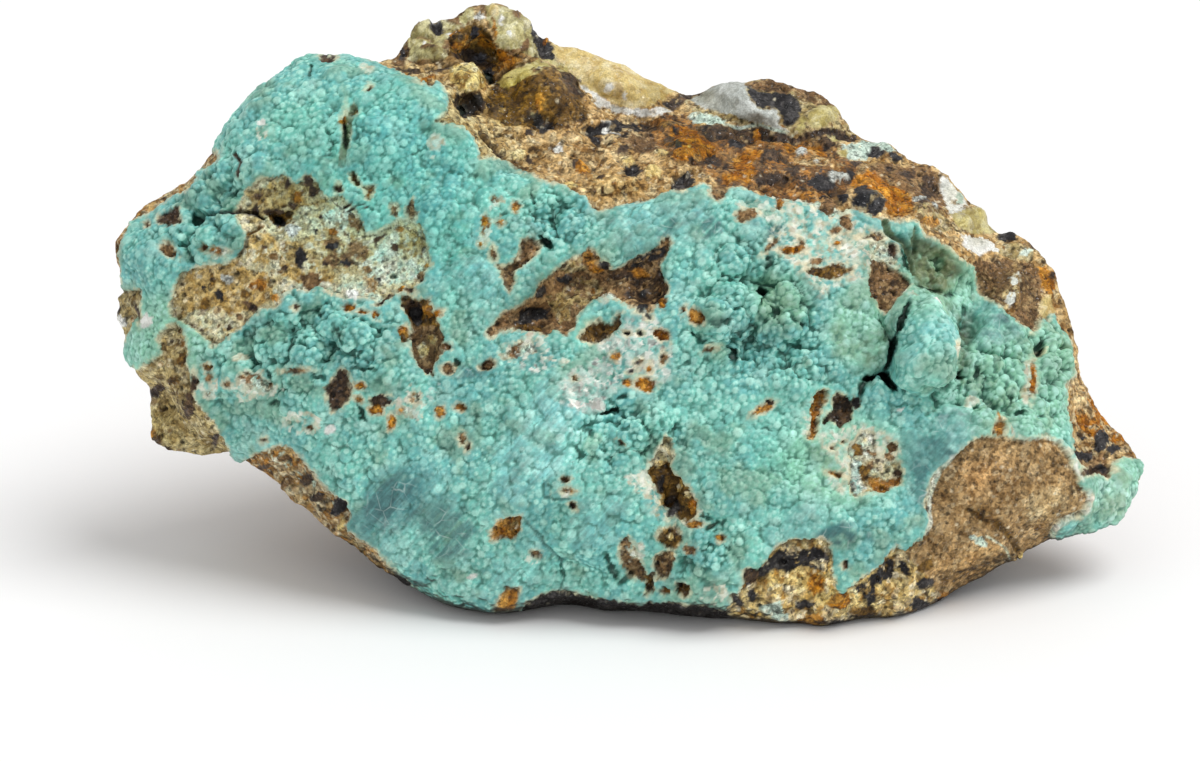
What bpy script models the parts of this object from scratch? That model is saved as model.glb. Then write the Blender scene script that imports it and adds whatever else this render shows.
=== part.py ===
"""A hand specimen of copper ore: one stone, with a knobbly blue-green crust over its broken front.

The stone is drawn on a sheet that stands square to a sight line, as a sculptor blocks out a
stone from one view. A point on the sheet is (across, down, depth) in millimetres: across from
the sheet's left edge, down from its top, and depth away from the viewer. The outline and the
ridges are lines of such points. They become a coarse cage, which is remeshed, roughened and
reduced to one faceted solid. The back and the underside are drawn in the stone's own axes.
"""

import math

import bmesh
import bpy
import numpy as np
from mathutils import Vector, geometry, noise

NAME = "copper_ore_specimen"
MM = 0.001

# The sheet: 120 mm wide, seen from 420 mm away and 22 degrees above the horizon.
SHEET_MIDDLE_ACROSS = 60.0
SHEET_MIDDLE_DOWN = 38.1
EYE_DISTANCE = 420.0
ELEVATION = math.radians(22.0)
MIDDLE_HEIGHT = 23.2

# Sizes of the steps from cage to solid, in millimetres, and the triangles that are kept.
# The foot is drawn on the floor and sunk by FOOT_SINK, so that the level cut leaves a crisp rim.
REMESH_SIZE = 0.7
EDGE_ROUNDING = 3
LOST_IN_ROUNDING = 0.28
FOOT_SINK = 1.2
FOOT_HEIGHT = 0.6
KEPT_TRIANGLES = 9300

# The crust's colour and finish.
CRUST_COLOUR = (0.16, 0.46, 0.40, 1.0)
CRUST_ROUGHNESS = 0.6

# The outline seen from the front, clockwise from the left end.
LEFT_END = [
    (13.4, 37.2, 12), (12.9, 35.6, 10), (12.6, 34.4, 10), (11.0, 33.0, 11), (10.5, 31.2, 11),
    (11.6, 29.4, 10), (12.4, 28.4, 9), (11.7, 26.4, 9), (11.2, 24.1, 9), (13.4, 21.4, 11),
    (16.8, 19.2, 13), (20.0, 17.4, 13), (21.4, 15.4, 12), (22.6, 13.1, 11), (24.9, 10.3, 11),
    (27.4, 8.3, 11), (29.6, 6.5, 12), (31.4, 5.5, 13), (34.0, 5.9, 13), (36.6, 6.4, 12),
]
PEAK = [
    (38.7, 6.2, 13), (40.1, 4.6, 15), (41.0, 3.2, 16), (41.2, 1.9, 17), (42.6, 1.4, 18),
    (45.4, 1.5, 18), (46.6, 0.6, 17), (48.6, 0.2, 17), (50.6, 0.5, 17), (52.2, 1.5, 18),
    (53.4, 2.9, 19), (55.3, 4.2, 21),
]
BACK_HORIZON = [
    (58.3, 4.6, 23), (61.2, 6.0, 24), (64.8, 7.7, 25), (68.4, 9.3, 26), (71.0, 8.6, 27),
    (73.8, 8.1, 27), (76.6, 7.9, 27), (79.6, 8.5, 26), (82.4, 9.9, 26), (84.5, 11.6, 25),
    (85.9, 13.9, 24), (88.8, 14.0, 23), (90.6, 16.0, 23), (93.2, 16.6, 22), (95.7, 18.8, 21),
    (97.9, 20.9, 20), (99.3, 23.0, 19), (101.6, 23.2, 18), (103.6, 24.2, 17), (105.6, 27.0, 16),
]
RIGHT_END = [
    (107.0, 29.3, 15), (107.5, 32.3, 15), (108.0, 35.6, 15), (108.2, 38.2, 15),
    (110.4, 41.2, 15), (112.9, 43.2, 14), (113.9, 45.6, 12), (114.1, 47.8, 11),
    (113.4, 50.4, 10), (111.6, 52.7, 9), (109.6, 53.7, 9), (106.2, 53.6, 9),
]
LOWER_RIGHT = [
    (103.3, 55.2, 8), (101.0, 56.3, 8), (98.2, 57.6, 7.5), (95.2, 59.2, 6.4), (93.0, 60.4, 5),
    (90.4, 61.5, 3.8), (86.0, 62.0, 2.6), (82.0, 62.7, 1.2), (79.0, 62.5, 1.4),
]
FOOT_FRONT = [
    (76.0, 61.9, 2.8), (72.0, 61.4, 4.2), (68.0, 61.2, 4.8), (64.0, 61.0, 5.4),
    (60.0, 60.9, 5.6), (56.0, 60.8, 6.0), (53.0, 60.6, 6.0),
]
LOWER_LEFT = [
    (49.5, 60.8, 4.4), (46.5, 60.3, 5.6), (44.0, 59.5, 7), (41.4, 58.6, 8), (39.5, 57.6, 8),
    (37.5, 56.1, 8), (35.2, 54.4, 8), (33.0, 53.1, 8), (30.0, 50.5, 8), (27.5, 48.0, 9),
    (25.2, 46.2, 10), (23.0, 45.0, 12),
]
KNOB = [
    (21.5, 45.7, 14), (19.6, 46.2, 14), (17.2, 45.7, 14), (15.4, 45.0, 14), (14.8, 43.4, 15),
    (14.9, 40.6, 15), (15.2, 38.8, 14),
]
OUTLINE = (
    LEFT_END + PEAK + BACK_HORIZON + RIGHT_END + LOWER_RIGHT + FOOT_FRONT + LOWER_LEFT + KNOB
)

# Lines along which the front changes its slope.
CRUST_TOP_LEFT = [
    (13.6, 25.6, 5.5), (17.0, 21.0, 6.5), (21.4, 17.6, 6.5), (23.4, 13.6, 6), (25.6, 10.9, 6.5),
    (28.2, 8.8, 7.5), (31.0, 7.4, 8), (34.4, 7.6, 7.5), (38.6, 8.0, 6.5), (42.6, 8.6, 5),
    (44.5, 9.9, 4), (44.3, 12.1, 3.8), (46.8, 13.3, 3.4), (48.8, 15.6, 3), (52.6, 17.7, 2.8),
    (56.4, 19.4, 2.8), (59.8, 20.9, 3.2), (63.4, 20.6, 3.2), (67.2, 19.5, 3.6),
    (70.6, 18.5, 4.2), (73.6, 18.9, 4.2), (77.0, 19.9, 4.2), (80.8, 20.7, 4.2),
    (84.4, 21.7, 4.8), (88.0, 22.4, 5.6), (91.4, 22.6, 7), (94.0, 24.2, 8), (96.4, 26.4, 8.6),
    (98.2, 29.0, 9), (100.6, 32.6, 8.6), (103.2, 35.8, 9.2),
]
STEP_BEHIND_CRUST = [
    (38.0, 7.1, 9.5), (41.8, 7.7, 9.5), (45.4, 9.2, 8.5), (45.6, 11.6, 8.2), (48.2, 12.4, 7.8),
    (50.6, 14.8, 7.2), (54.6, 16.6, 6.2),
]
CRACK_UNDER_PEAK = [
    (40.0, 6.5, 14), (43.6, 6.6, 13.5), (46.6, 6.9, 13), (48.6, 8.9, 14.5), (51.2, 7.9, 15),
    (54.4, 6.8, 19),
]
GROOVE_BEHIND_SLOPE = [
    (58.0, 8.9, 20), (61.0, 11.0, 20), (64.5, 12.4, 20.5), (68.5, 12.0, 21), (72.5, 12.9, 20.5),
    (78.0, 14.2, 19.5), (83.5, 14.5, 19.5), (88.0, 16.8, 18.5), (92.0, 18.9, 18),
    (96.0, 22.4, 17), (100.4, 25.6, 15.5),
]
PLATE_EDGE_LEFT = [
    (14.0, 35.6, 6), (15.6, 36.8, 5.5), (18.0, 38.2, 4.5), (19.2, 40.6, 4.5), (21.2, 43.0, 5),
    (23.6, 44.4, 5.5),
]
FOOT_OF_LEFT_PLATE = [
    (16.4, 38.8, 12), (18.4, 41.2, 12), (20.6, 43.9, 12.5),
]
CRUST_LOWER_EDGE = [
    (26.2, 45.2, 4), (30.2, 48.4, 3.6), (33.6, 51.6, 3.2), (37.0, 54.6, 2.8), (40.6, 57.2, 2.4),
    (44.4, 59.2, 1.6), (49.2, 60.4, 0.6), (52.2, 59.7, 0.2), (56.2, 58.7, 0.6),
    (58.6, 59.2, 0.2), (60.8, 60.3, -0.4), (62.6, 59.7, -0.2), (66.2, 60.0, -0.6),
    (69.4, 60.7, -1.4), (72.0, 60.5, -1.6), (75.0, 60.9, -1.2),
]
RECESS_OF_FOOT = [
    (53.6, 60.2, 6.2), (56.4, 59.6, 7.4), (59.4, 60.2, 6.8), (60.8, 60.6, 6.4),
    (63.0, 60.5, 6.4), (66.6, 60.7, 5.8), (70.6, 61.1, 4.8),
]
BROWN_PLATE_EDGE = [
    (93.4, 47.2, -0.2), (96.2, 44.9, 0), (99.2, 43.5, 0.6), (102.4, 43.8, 1.4),
    (105.2, 44.8, 2.4), (107.0, 46.4, 3.2), (108.2, 48.8, 4), (108.3, 50.4, 4.4),
    (106.4, 51.6, 4.8),
]
BEHIND_BROWN_PLATE = [
    (107.8, 45.4, 7.5), (109.2, 48.4, 7.4), (109.4, 50.8, 7.2), (107.4, 52.4, 7.4),
]
RIGHT_LEDGE = [
    (106.6, 38.0, 11), (107.6, 41.6, 10), (109.4, 45.2, 9), (113.0, 46.4, 9),
]
BLOCK_CREASE = [
    (52.2, 49.4, -2.8), (53.6, 53.0, -2.0), (55.6, 56.4, -0.4),
]
FRONT_LINES = (
    CRUST_TOP_LEFT, STEP_BEHIND_CRUST, CRACK_UNDER_PEAK, GROOVE_BEHIND_SLOPE, PLATE_EDGE_LEFT,
    FOOT_OF_LEFT_PLATE, CRUST_LOWER_EDGE, RECESS_OF_FOOT, BROWN_PLATE_EDGE, BEHIND_BROWN_PLATE,
    RIGHT_LEDGE, BLOCK_CREASE,
)

# Single points that shape the front between those lines.
FRONT_POINTS = [
    (44.2, 3.6, 15), (48.4, 3.4, 15), (51.6, 4.2, 15.5), (47.0, 9.4, 9.5), (47.2, 10.8, 9.5),
    (51.0, 11.2, 10.5), (53.6, 8.8, 13), (57.0, 10.6, 14), (56.0, 14.0, 9.5),
    (60.6, 14.6, 12), (60.4, 18.0, 6.5), (64.6, 16.2, 11), (69.6, 15.4, 11.5),
    (75.0, 16.4, 11), (80.6, 17.2, 11), (86.0, 18.8, 11), (91.0, 20.8, 12),
    (57.4, 6.4, 20.5), (61.4, 8.6, 21), (65.4, 10.4, 21.5), (72.0, 10.6, 22),
    (76.0, 11.4, 20.5), (80.4, 12.4, 20), (77.0, 9.2, 24), (88.6, 15.6, 20),
    (99.4, 27.0, 11), (103.4, 28.8, 12), (104.6, 33.0, 11.6), (105.6, 37.0, 11),
    (17.6, 26.6, 4), (12.6, 31.2, 7.5), (17.4, 32.4, 4.2), (22.6, 22.0, 3.6), (27.6, 14.0, 4.6), (33.6, 12.0, 4.4),
    (39.4, 13.4, 3.2), (42.6, 18.0, 1.8), (33.0, 19.0, 2.2), (27.0, 24.6, 1.8),
    (36.0, 26.0, 0.6), (46.0, 22.6, 0.6), (51.0, 26.6, 0.2), (58.6, 25.4, 1.2),
    (65.6, 24.6, 1.2), (72.6, 24.2, 1.4), (79.6, 25.8, 1.8), (86.4, 27.2, 2.6),
    (23.6, 36.0, 2.8), (30.0, 34.0, 0.8), (38.0, 33.0, -0.4), (46.4, 31.0, -1.0),
    (54.6, 34.0, -1.2), (62.6, 32.6, -0.8), (70.0, 31.0, 0), (78.2, 34.0, -0.2),
    (85.6, 35.2, 0.8), (96.6, 34.6, 4.6), (99.4, 39.4, 3.8), (104.6, 40.8, 6.4),
    (28.6, 42.2, 1.6), (35.6, 41.6, -0.8), (43.6, 40.4, -1.8), (51.6, 41.0, -2.2),
    (59.6, 40.6, -2.4), (67.6, 39.4, -1.8), (75.6, 41.6, -1.6), (83.4, 43.4, -1.0),
    (91.4, 41.2, 0.6), (35.6, 48.4, 0.2), (42.4, 49.6, -1.4), (47.4, 46.4, -2.4),
    (57.6, 48.4, -3.2), (65.4, 47.4, -3.2), (73.4, 49.4, -3.4), (81.6, 51.4, -3.0),
    (88.2, 52.4, -2.2), (43.4, 55.2, 0.4), (48.4, 55.6, -0.4), (59.4, 54.6, -2.4),
    (66.0, 55.6, -2.6), (74.0, 56.0, -3.4), (80.0, 57.4, -3.2), (86.6, 58.2, -2.0),
    (92.2, 57.4, -0.2), (96.2, 53.0, -0.6), (101.4, 49.6, 0), (104.4, 51.0, 2.2),
    (99.6, 54.8, 2.2), (96.8, 56.6, 3), (83.0, 61.4, -1.6), (77.6, 60.8, -2.0),
    (90.0, 60.6, 0.4), (111.2, 49.6, 7.0), (110.2, 42.8, 11.6), (17.0, 43.0, 11),
]

# The back and the underside, in the stone's own axes: right, away from the viewer and up.
BACK_UPPER = [
    (-36, 22, 37), (-27, 28, 42), (-18, 33, 44), (-11, 35, 46.5), (-3, 36, 43), (7, 37, 36.5),
    (17, 38, 35), (25, 35, 31), (34, 30, 27), (41, 25, 24),
]
BACK_MIDDLE = [
    (-43, 16, 26), (-34, 24, 25), (-24, 30, 29), (-13, 36, 27), (-2, 34, 30), (9, 38, 24),
    (20, 35, 21), (30, 31, 19), (40, 24, 17), (47, 17, 14),
]
BACK_LOWER = [
    (-37, 20, 15), (-27, 22, 12), (-18, 29, 13), (-8, 28, 9), (3, 32, 11), (14, 29, 7.5),
    (24, 27, 9), (34, 20, 8), (43, 14, 8.5),
]
FOOT_BACK = [
    (-18, 12, 2.5), (-12, 18, 0), (-3, 22, 0), (8, 24, 0), (18, 21, 0), (27, 16, 0), (33, 9, 0),
]
UNDERSIDE = [
    (-28, 11, 7), (-22, 9, 4), (6, 12, 0), (20, 9, 0), (-8, 9, 0), (38, 9, 5), (-38, 15, 11),
]
BACK_LINES = (BACK_UPPER, BACK_MIDDLE, BACK_LOWER, FOOT_BACK)

# Where the crust is missing and the stone beneath shows, drawn on the sheet. The stone lies
# one crust thickness lower there.
CRUST_THICKNESS = 0.75
EDGE_WIDTH = 0.55
BARE_PATCHES = {
    "window": [
        (24.4, 19.0), (26.0, 17.9), (28.4, 17.6), (29.8, 18.4), (31.2, 17.6), (32.6, 19.6),
        (34.6, 21.4), (38.2, 22.0), (41.8, 22.8), (42.8, 25.4), (42.2, 27.6), (40.0, 29.4),
        (36.4, 29.8), (32.6, 29.0), (28.6, 29.4), (25.2, 31.2), (22.4, 33.2), (20.4, 34.0),
        (17.2, 32.0), (17.0, 30.8), (18.4, 26.8), (22.0, 26.5), (24.4, 24.8), (23.6, 21.2),
    ],
    "slot": [
        (40.0, 29.6), (42.6, 29.8), (43.8, 32.2), (44.2, 34.4), (43.2, 38.0), (41.4, 36.8),
        (41.0, 34.2), (39.9, 31.4),
    ],
    "left_strip": [
        (21.8, 15.0), (21.4, 16.6), (19.8, 17.8), (18.6, 19.4), (15.6, 21.1), (13.0, 22.6),
        (12.2, 25.0), (12.2, 28.2), (10.0, 28.2), (10.0, 20.0), (19.0, 14.0),
    ],
    "left_bulge": [
        (11.0, 28.8), (14.2, 28.9), (14.2, 30.6), (13.2, 32.8), (12.6, 34.4), (10.0, 33.0),
    ],
    "lower_left_strip": [
        (24.6, 45.6), (27.8, 44.5), (29.4, 44.8), (31.2, 47.4), (33.8, 49.6), (34.9, 51.4),
        (35.4, 53.8), (38.4, 56.0), (36.0, 57.0), (27.0, 50.6),
    ],
    "recess": [
        (49.0, 33.8), (50.2, 31.4), (53.4, 29.6), (55.6, 27.2), (58.8, 25.2), (61.4, 26.8),
        (64.0, 25.4), (66.6, 24.0), (67.0, 25.6), (66.6, 29.2), (64.8, 31.6), (61.0, 29.8),
        (58.8, 30.6), (57.2, 33.2), (53.6, 33.4),
    ],
    "recess_below": [
        (57.8, 33.8), (59.6, 32.2), (62.0, 31.6), (61.6, 33.2), (59.2, 34.4),
    ],
    "check_mark": [
        (52.2, 23.8), (54.0, 24.8), (51.6, 27.4), (50.8, 29.2), (49.6, 26.6), (51.2, 26.4),
    ],
    "dark_grain": [
        (34.2, 36.8), (35.1, 37.6), (35.0, 40.0), (33.2, 41.2), (32.4, 39.2),
    ],
    "double_grain": [
        (37.0, 39.6), (39.4, 39.8), (39.2, 43.0), (37.4, 41.8),
    ],
    "rhomb": [
        (87.4, 25.6), (89.2, 26.4), (90.8, 28.8), (89.2, 30.4), (88.3, 31.4), (86.9, 29.0),
    ],
    "star": [
        (81.4, 39.2), (85.4, 39.6), (85.2, 42.4), (83.0, 42.6), (81.4, 44.0), (80.6, 43.8),
    ],
    "cream_patch": [
        (82.4, 43.6), (86.8, 43.2), (90.2, 44.4), (90.2, 47.8), (88.0, 49.7), (85.2, 48.2),
    ],
    "lower_pit": [
        (66.4, 44.4), (67.2, 46.8), (69.2, 49.4), (69.6, 51.4), (68.0, 52.4), (66.2, 52.0),
        (64.4, 49.6), (63.0, 48.0), (64.8, 46.6),
    ],
    "pit_below": [
        (66.2, 52.8), (68.2, 53.6), (67.6, 56.0), (65.4, 59.2), (63.4, 57.4), (61.9, 55.4),
        (62.6, 53.6), (64.6, 55.6),
    ],
    "amber_grain": [
        (48.8, 53.2), (50.2, 51.5), (52.2, 51.4), (51.2, 54.0), (49.2, 54.2),
    ],
    "gold_foot": [
        (72.8, 60.6), (74.6, 57.8), (76.8, 55.8), (79.6, 54.0), (82.6, 54.0), (83.3, 56.0),
        (83.6, 59.2), (84.4, 59.4), (87.0, 57.2), (89.4, 54.8), (92.4, 55.0), (96.0, 60.0),
        (90.0, 64.0), (72.0, 64.0),
    ],
    "brown_plate": [
        (92.0, 54.8), (92.6, 50.0), (93.8, 47.0), (96.0, 45.0), (98.6, 43.8), (104.6, 43.8),
        (106.9, 45.6), (108.2, 49.2), (107.8, 51.4), (105.6, 52.6), (106.2, 55.0),
        (96.0, 61.0),
    ],
    "upper_right_plate": [
        (92.0, 22.2), (94.2, 24.0), (96.4, 26.2), (97.6, 28.8), (99.4, 30.4), (101.4, 31.8),
        (103.4, 33.6), (104.8, 31.6), (106.2, 33.6), (109.0, 36.0), (109.0, 20.0),
        (92.0, 18.0),
    ],
    "orange_ledge": [
        (106.6, 38.2), (109.0, 36.5), (116.0, 45.6), (111.4, 46.2), (110.0, 47.8),
        (107.8, 46.4), (107.0, 43.0),
    ],
}

# Ellipses on the sheet: across, down, half width, half height, turn in degrees, and how far
# the surface sinks there. A negative figure is a lump that stands out.
HOLLOWS = {
    "window_cave": (28.6, 22.2, 2.6, 1.3, 20, 2.2),
    "recess": (58.0, 29.6, 7.4, 2.4, 30, 1.6),
    "recess_right_end": (64.4, 27.6, 2.8, 3.2, 0, 1.2),
    "slot": (42.2, 33.6, 1.8, 4.6, 14, 1.2),
    "lower_pit": (66.9, 49.2, 1.7, 4.4, 24, 1.6),
    "cone_hole": (87.8, 37.9, 1.9, 1.2, 0, 5.0),
    "cone_gap": (88.4, 33.8, 1.0, 3.6, 26, 3.0),
    "right_hollow": (96.6, 31.0, 2.6, 5.0, -12, 2.6),
    "middle_hollow": (74.8, 35.4, 3.4, 2.2, -20, 1.8),
    "pinhole_high": (76.2, 29.9, 0.9, 1.2, 0, 2.0),
    "pinhole_left": (54.3, 24.0, 1.0, 1.6, -20, 2.0),
    "pinhole_low": (60.6, 41.3, 1.6, 1.0, 20, 1.8),
    "peak_cave": (48.6, 5.9, 2.4, 2.0, 0, 3.0),
    "dark_hole": (46.5, 11.2, 1.3, 1.5, 0, 2.2),
    "left_notch": (19.8, 21.6, 1.2, 0.9, 30, 2.0),
}
LUMPS = {
    "cone": (92.0, 34.6, 3.7, 5.8, 8, -3.6),
    "cone_foot": (87.9, 39.6, 2.0, 1.6, 0, -1.2),
    "right_knob": (104.4, 37.4, 2.3, 3.2, 0, -1.9),
    "right_knob_low": (101.0, 38.6, 1.8, 2.8, 0, -1.4),
    "right_ridge": (103.0, 42.4, 1.4, 3.4, -8, -1.2),
    "right_bead": (98.4, 37.0, 1.8, 1.7, 0, -1.0),
    "middle_knob": (71.4, 31.4, 2.7, 2.6, 0, -1.4),
    "middle_knob_right": (80.0, 29.4, 2.6, 2.2, 0, -0.9),
    "middle_knob_low": (78.6, 38.4, 3.2, 2.4, 0, -0.9),
    "belly": (64.2, 42.8, 2.8, 2.1, 0, -1.0),
    "belly_left": (56.6, 42.2, 2.8, 2.3, 0, -0.8),
    "cluster_a": (35.2, 33.4, 2.4, 1.9, 0, -1.1),
    "cluster_b": (30.4, 36.0, 2.4, 1.8, 0, -0.9),
    "cluster_c": (38.4, 37.2, 2.1, 2.0, 0, -1.0),
    "cluster_d": (33.2, 40.2, 2.6, 1.7, 0, -0.9),
    "cluster_e": (24.4, 38.2, 2.8, 2.2, 0, -0.9),
    "shoulder_left": (25.6, 17.0, 3.2, 2.6, 0, -0.9),
    "shoulder_right": (43.4, 20.6, 3.0, 2.6, 0, -0.7),
    "left_bulge": (22.8, 23.4, 2.9, 1.9, 0, -0.9),
    "left_end_bulge": (15.6, 27.6, 2.3, 2.8, 0, -0.8),
    "gold_bump": (47.2, 8.6, 1.7, 1.2, 0, -1.4),
    "cream_bank": (62.0, 9.0, 4.4, 1.6, -24, -1.6),
    "grey_hump": (75.6, 11.0, 4.4, 2.0, -8, -1.8),
    "hump_corner": (81.4, 12.0, 2.2, 1.6, 0, -1.2),
}


def to_world(across, down, depth):
    """The place in the stone's axes, in millimetres, of a point drawn on the sheet."""
    spread = (EYE_DISTANCE + depth) / EYE_DISTANCE
    side = (across - SHEET_MIDDLE_ACROSS) * spread
    rise = (SHEET_MIDDLE_DOWN - down) * spread
    back = rise * math.sin(ELEVATION) + depth * math.cos(ELEVATION)
    up = MIDDLE_HEIGHT + rise * math.cos(ELEVATION) - depth * math.sin(ELEVATION)
    return Vector((side, back, up))


def to_sheet(place):
    """Where the sheet shows a place: (across, down, depth)."""
    up = place[2] - MIDDLE_HEIGHT
    depth = place[1] * math.cos(ELEVATION) - up * math.sin(ELEVATION)
    rise = place[1] * math.sin(ELEVATION) + up * math.cos(ELEVATION)
    spread = (EYE_DISTANCE + depth) / EYE_DISTANCE
    return (
        SHEET_MIDDLE_ACROSS + place[0] / spread,
        SHEET_MIDDLE_DOWN - rise / spread,
        depth,
    )


def sight_line():
    """The direction from the eye into the stone."""
    return Vector((0, math.cos(ELEVATION), -math.sin(ELEVATION)))


def triangulated(lines, points):
    """The triangles inside the outline, through every line and point: (places, triangles)."""
    drawn = list(OUTLINE)
    edges = [(i, (i + 1) % len(OUTLINE)) for i in range(len(OUTLINE))]
    for line in lines:
        first = len(drawn)
        drawn += line
        edges += [(first + i, first + i + 1) for i in range(len(line) - 1)]
    drawn += points
    flat = [Vector((across, -down)) for across, down, depth in drawn]
    made, _, faces, sources, _, _ = geometry.delaunay_2d_cdt(flat, edges, [], 1, 1e-4)
    if len(made) != len(drawn):
        raise ValueError("two lines of the drawing cross, or a point lies outside the outline")
    places = [to_world(*drawn[sources[i][0]]) for i in range(len(made))]
    return places, faces


def cage():
    """The coarse closed cage: the front's triangles and the back's, sewn along the outline."""
    back_lines = [[to_sheet(place) for place in line] for line in BACK_LINES]
    back_points = [to_sheet(place) for place in UNDERSIDE]
    sheet = bmesh.new()
    for lines, points, turned in (
        (FRONT_LINES, FRONT_POINTS, False),
        (back_lines, back_points, True),
    ):
        places, faces = triangulated(lines, points)
        corners = [sheet.verts.new(place) for place in places]
        for face in faces:
            order = reversed(face) if turned else face
            sheet.faces.new([corners[i] for i in order])
    bmesh.ops.remove_doubles(sheet, verts=sheet.verts, dist=1e-4)
    bmesh.ops.recalc_face_normals(sheet, faces=sheet.faces)
    for corner in sheet.verts:
        if corner.co.z < FOOT_HEIGHT:
            corner.co.z -= FOOT_SINK
    mesh = bpy.data.meshes.new("cage")
    sheet.to_mesh(mesh)
    sheet.free()
    return mesh


def evaluated_copy(stone, name):
    """The stone's mesh with its modifiers worked in."""
    graph = bpy.context.evaluated_depsgraph_get()
    return bpy.data.meshes.new_from_object(stone.evaluated_get(graph), depsgraph=graph)


def remeshed(stone):
    """Replaces the cage by an even mesh with slightly rounded edges."""
    remesh = stone.modifiers.new("even mesh", "REMESH")
    remesh.mode = "VOXEL"
    remesh.voxel_size = REMESH_SIZE
    rounding = stone.modifiers.new("rounded edges", "SMOOTH")
    rounding.iterations = EDGE_ROUNDING
    stone.data = evaluated_copy(stone, "even")
    stone.modifiers.clear()


def ellipse_weight(spot, across, down):
    """1 in the middle of an ellipse on the sheet, falling smoothly to 0 at its edge."""
    middle, level, half_width, half_height, turn, _ = spot
    angle = math.radians(turn)
    right, low = across - middle, down - level
    along = (right * math.cos(angle) - low * math.sin(angle)) / half_width
    over = (right * math.sin(angle) + low * math.cos(angle)) / half_height
    reach = along * along + over * over
    return (1 - reach) ** 2 * (1 + 2 * reach) if reach < 1 else 0.0


def chipped(place, size):
    """The height of broken, tilted facets of about this size, between -1 and 1."""
    distances, seeds = noise.voronoi(place / size)
    tilt = noise.noise_vector(seeds[0] * 7.31)
    return max(-1.0, min(1.0, 3.0 * tilt.dot(place / size - seeds[0])))


def knobbed(place, size):
    """The height of round knobs of about this size packed side by side, between 0 and 1."""
    distances, _ = noise.voronoi(place / size)
    return max(0.0, 1.0 - distances[0] ** 2 * 1.6)


def broken_height(place):
    """How far the broken stone stands out from its cage at a place."""
    swell = noise.fractal(place / 14.0, 1.0, 2.1, 2)
    grain = noise.fractal(place / 3.6 + Vector((9.1, 2.2, 5.7)), 1.0, 2.2, 2)
    facets = chipped(place, 11.0) * 0.9 + chipped(place + Vector((3.0, 1.0, 7.0)), 5.5) * 0.45
    return 0.8 * swell + 0.28 * grain + facets


def crust_height(place):
    """How far the knobbly crust stands out from its cage at a place."""
    swell = noise.fractal(place / 11.0, 1.0, 2.1, 2)
    bent = place + noise.noise_vector(place / 5.0) * 1.2
    return 0.35 * swell + 0.65 * knobbed(bent, 6.5) + 0.4 * knobbed(bent, 3.1) - 0.55


def crust_share(across, down, facing):
    """1 on the crusted front, 0 on the broken stone above it and behind."""
    edge_across = [spot[0] for spot in CRUST_TOP_LEFT]
    edge_down = [spot[1] for spot in CRUST_TOP_LEFT]
    below = np.clip((down - np.interp(across, edge_across, edge_down)) / 1.5, 0, 1)
    return below * np.clip(facing / 0.35, 0, 1)


def depth_inside(across, down, patch):
    """How far inside a drawn patch each place lies, in millimetres; negative outside it."""
    inside = np.zeros(len(across), dtype=bool)
    nearest = np.full(len(across), np.inf)
    for start, end in zip(patch, patch[1:] + patch[:1]):
        run, drop = end[0] - start[0], end[1] - start[1]
        right, low = across - start[0], down - start[1]
        along = np.clip((right * run + low * drop) / (run * run + drop * drop), 0, 1)
        nearest = np.minimum(nearest, np.hypot(right - along * run, low - along * drop))
        if drop:
            spans = (start[1] > down) != (end[1] > down)
            inside ^= spans & (right < low * run / drop)
    return np.where(inside, nearest, -nearest)


def bare_share(across, down):
    """1 where the crust is missing, 0 where it covers the stone."""
    share = np.zeros(len(across))
    for patch in BARE_PATCHES.values():
        step = np.clip(depth_inside(across, down, patch) / EDGE_WIDTH + 0.5, 0, 1)
        share = np.maximum(share, step * step * (3 - 2 * step))
    return share


def sculpted(stone):
    """Roughens the stone, bares its patches, sinks its hollows and raises its lumps.

    The drawn outline keeps its shape: the roughness fades towards it.
    """
    view = sight_line()
    vertices = stone.data.vertices
    coarse = stone.vertex_groups.new(name="coarse")
    normals = [vertex.normal.copy() for vertex in vertices]
    drawn = np.array([to_sheet(vertex.co) for vertex in vertices])
    facing = np.array([-normal.dot(view) for normal in normals])
    crusted = crust_share(drawn[:, 0], drawn[:, 1], facing)
    bare = bare_share(drawn[:, 0], drawn[:, 1]) * crusted
    from_outline = np.clip(depth_inside(drawn[:, 0], drawn[:, 1], OUTLINE), 0, None)
    heights = np.array([vertex.co.z for vertex in vertices])
    steady = np.clip(heights / 3.0, 0, 1) * np.clip(0.2 + from_outline / 5.0, 0, 1)
    for i, vertex in enumerate(vertices):
        sink = 0.0
        if facing[i] > 0:
            sink = CRUST_THICKNESS * bare[i]
            for spot in (*HOLLOWS.values(), *LUMPS.values()):
                sink += spot[5] * ellipse_weight(spot, drawn[i][0], drawn[i][1])
        knobs = crusted[i] * (1 - 0.7 * bare[i])
        rough = crust_height(vertex.co) * knobs + broken_height(vertex.co) * (1 - crusted[i])
        rise = rough * steady[i] + LOST_IN_ROUNDING
        vertex.co = vertex.co + normals[i] * rise + view * sink
        fine = facing[i] > 0 or from_outline[i] < 1.5
        coarse.add([i], 0.3 if fine else 1.0, "REPLACE")


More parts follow.
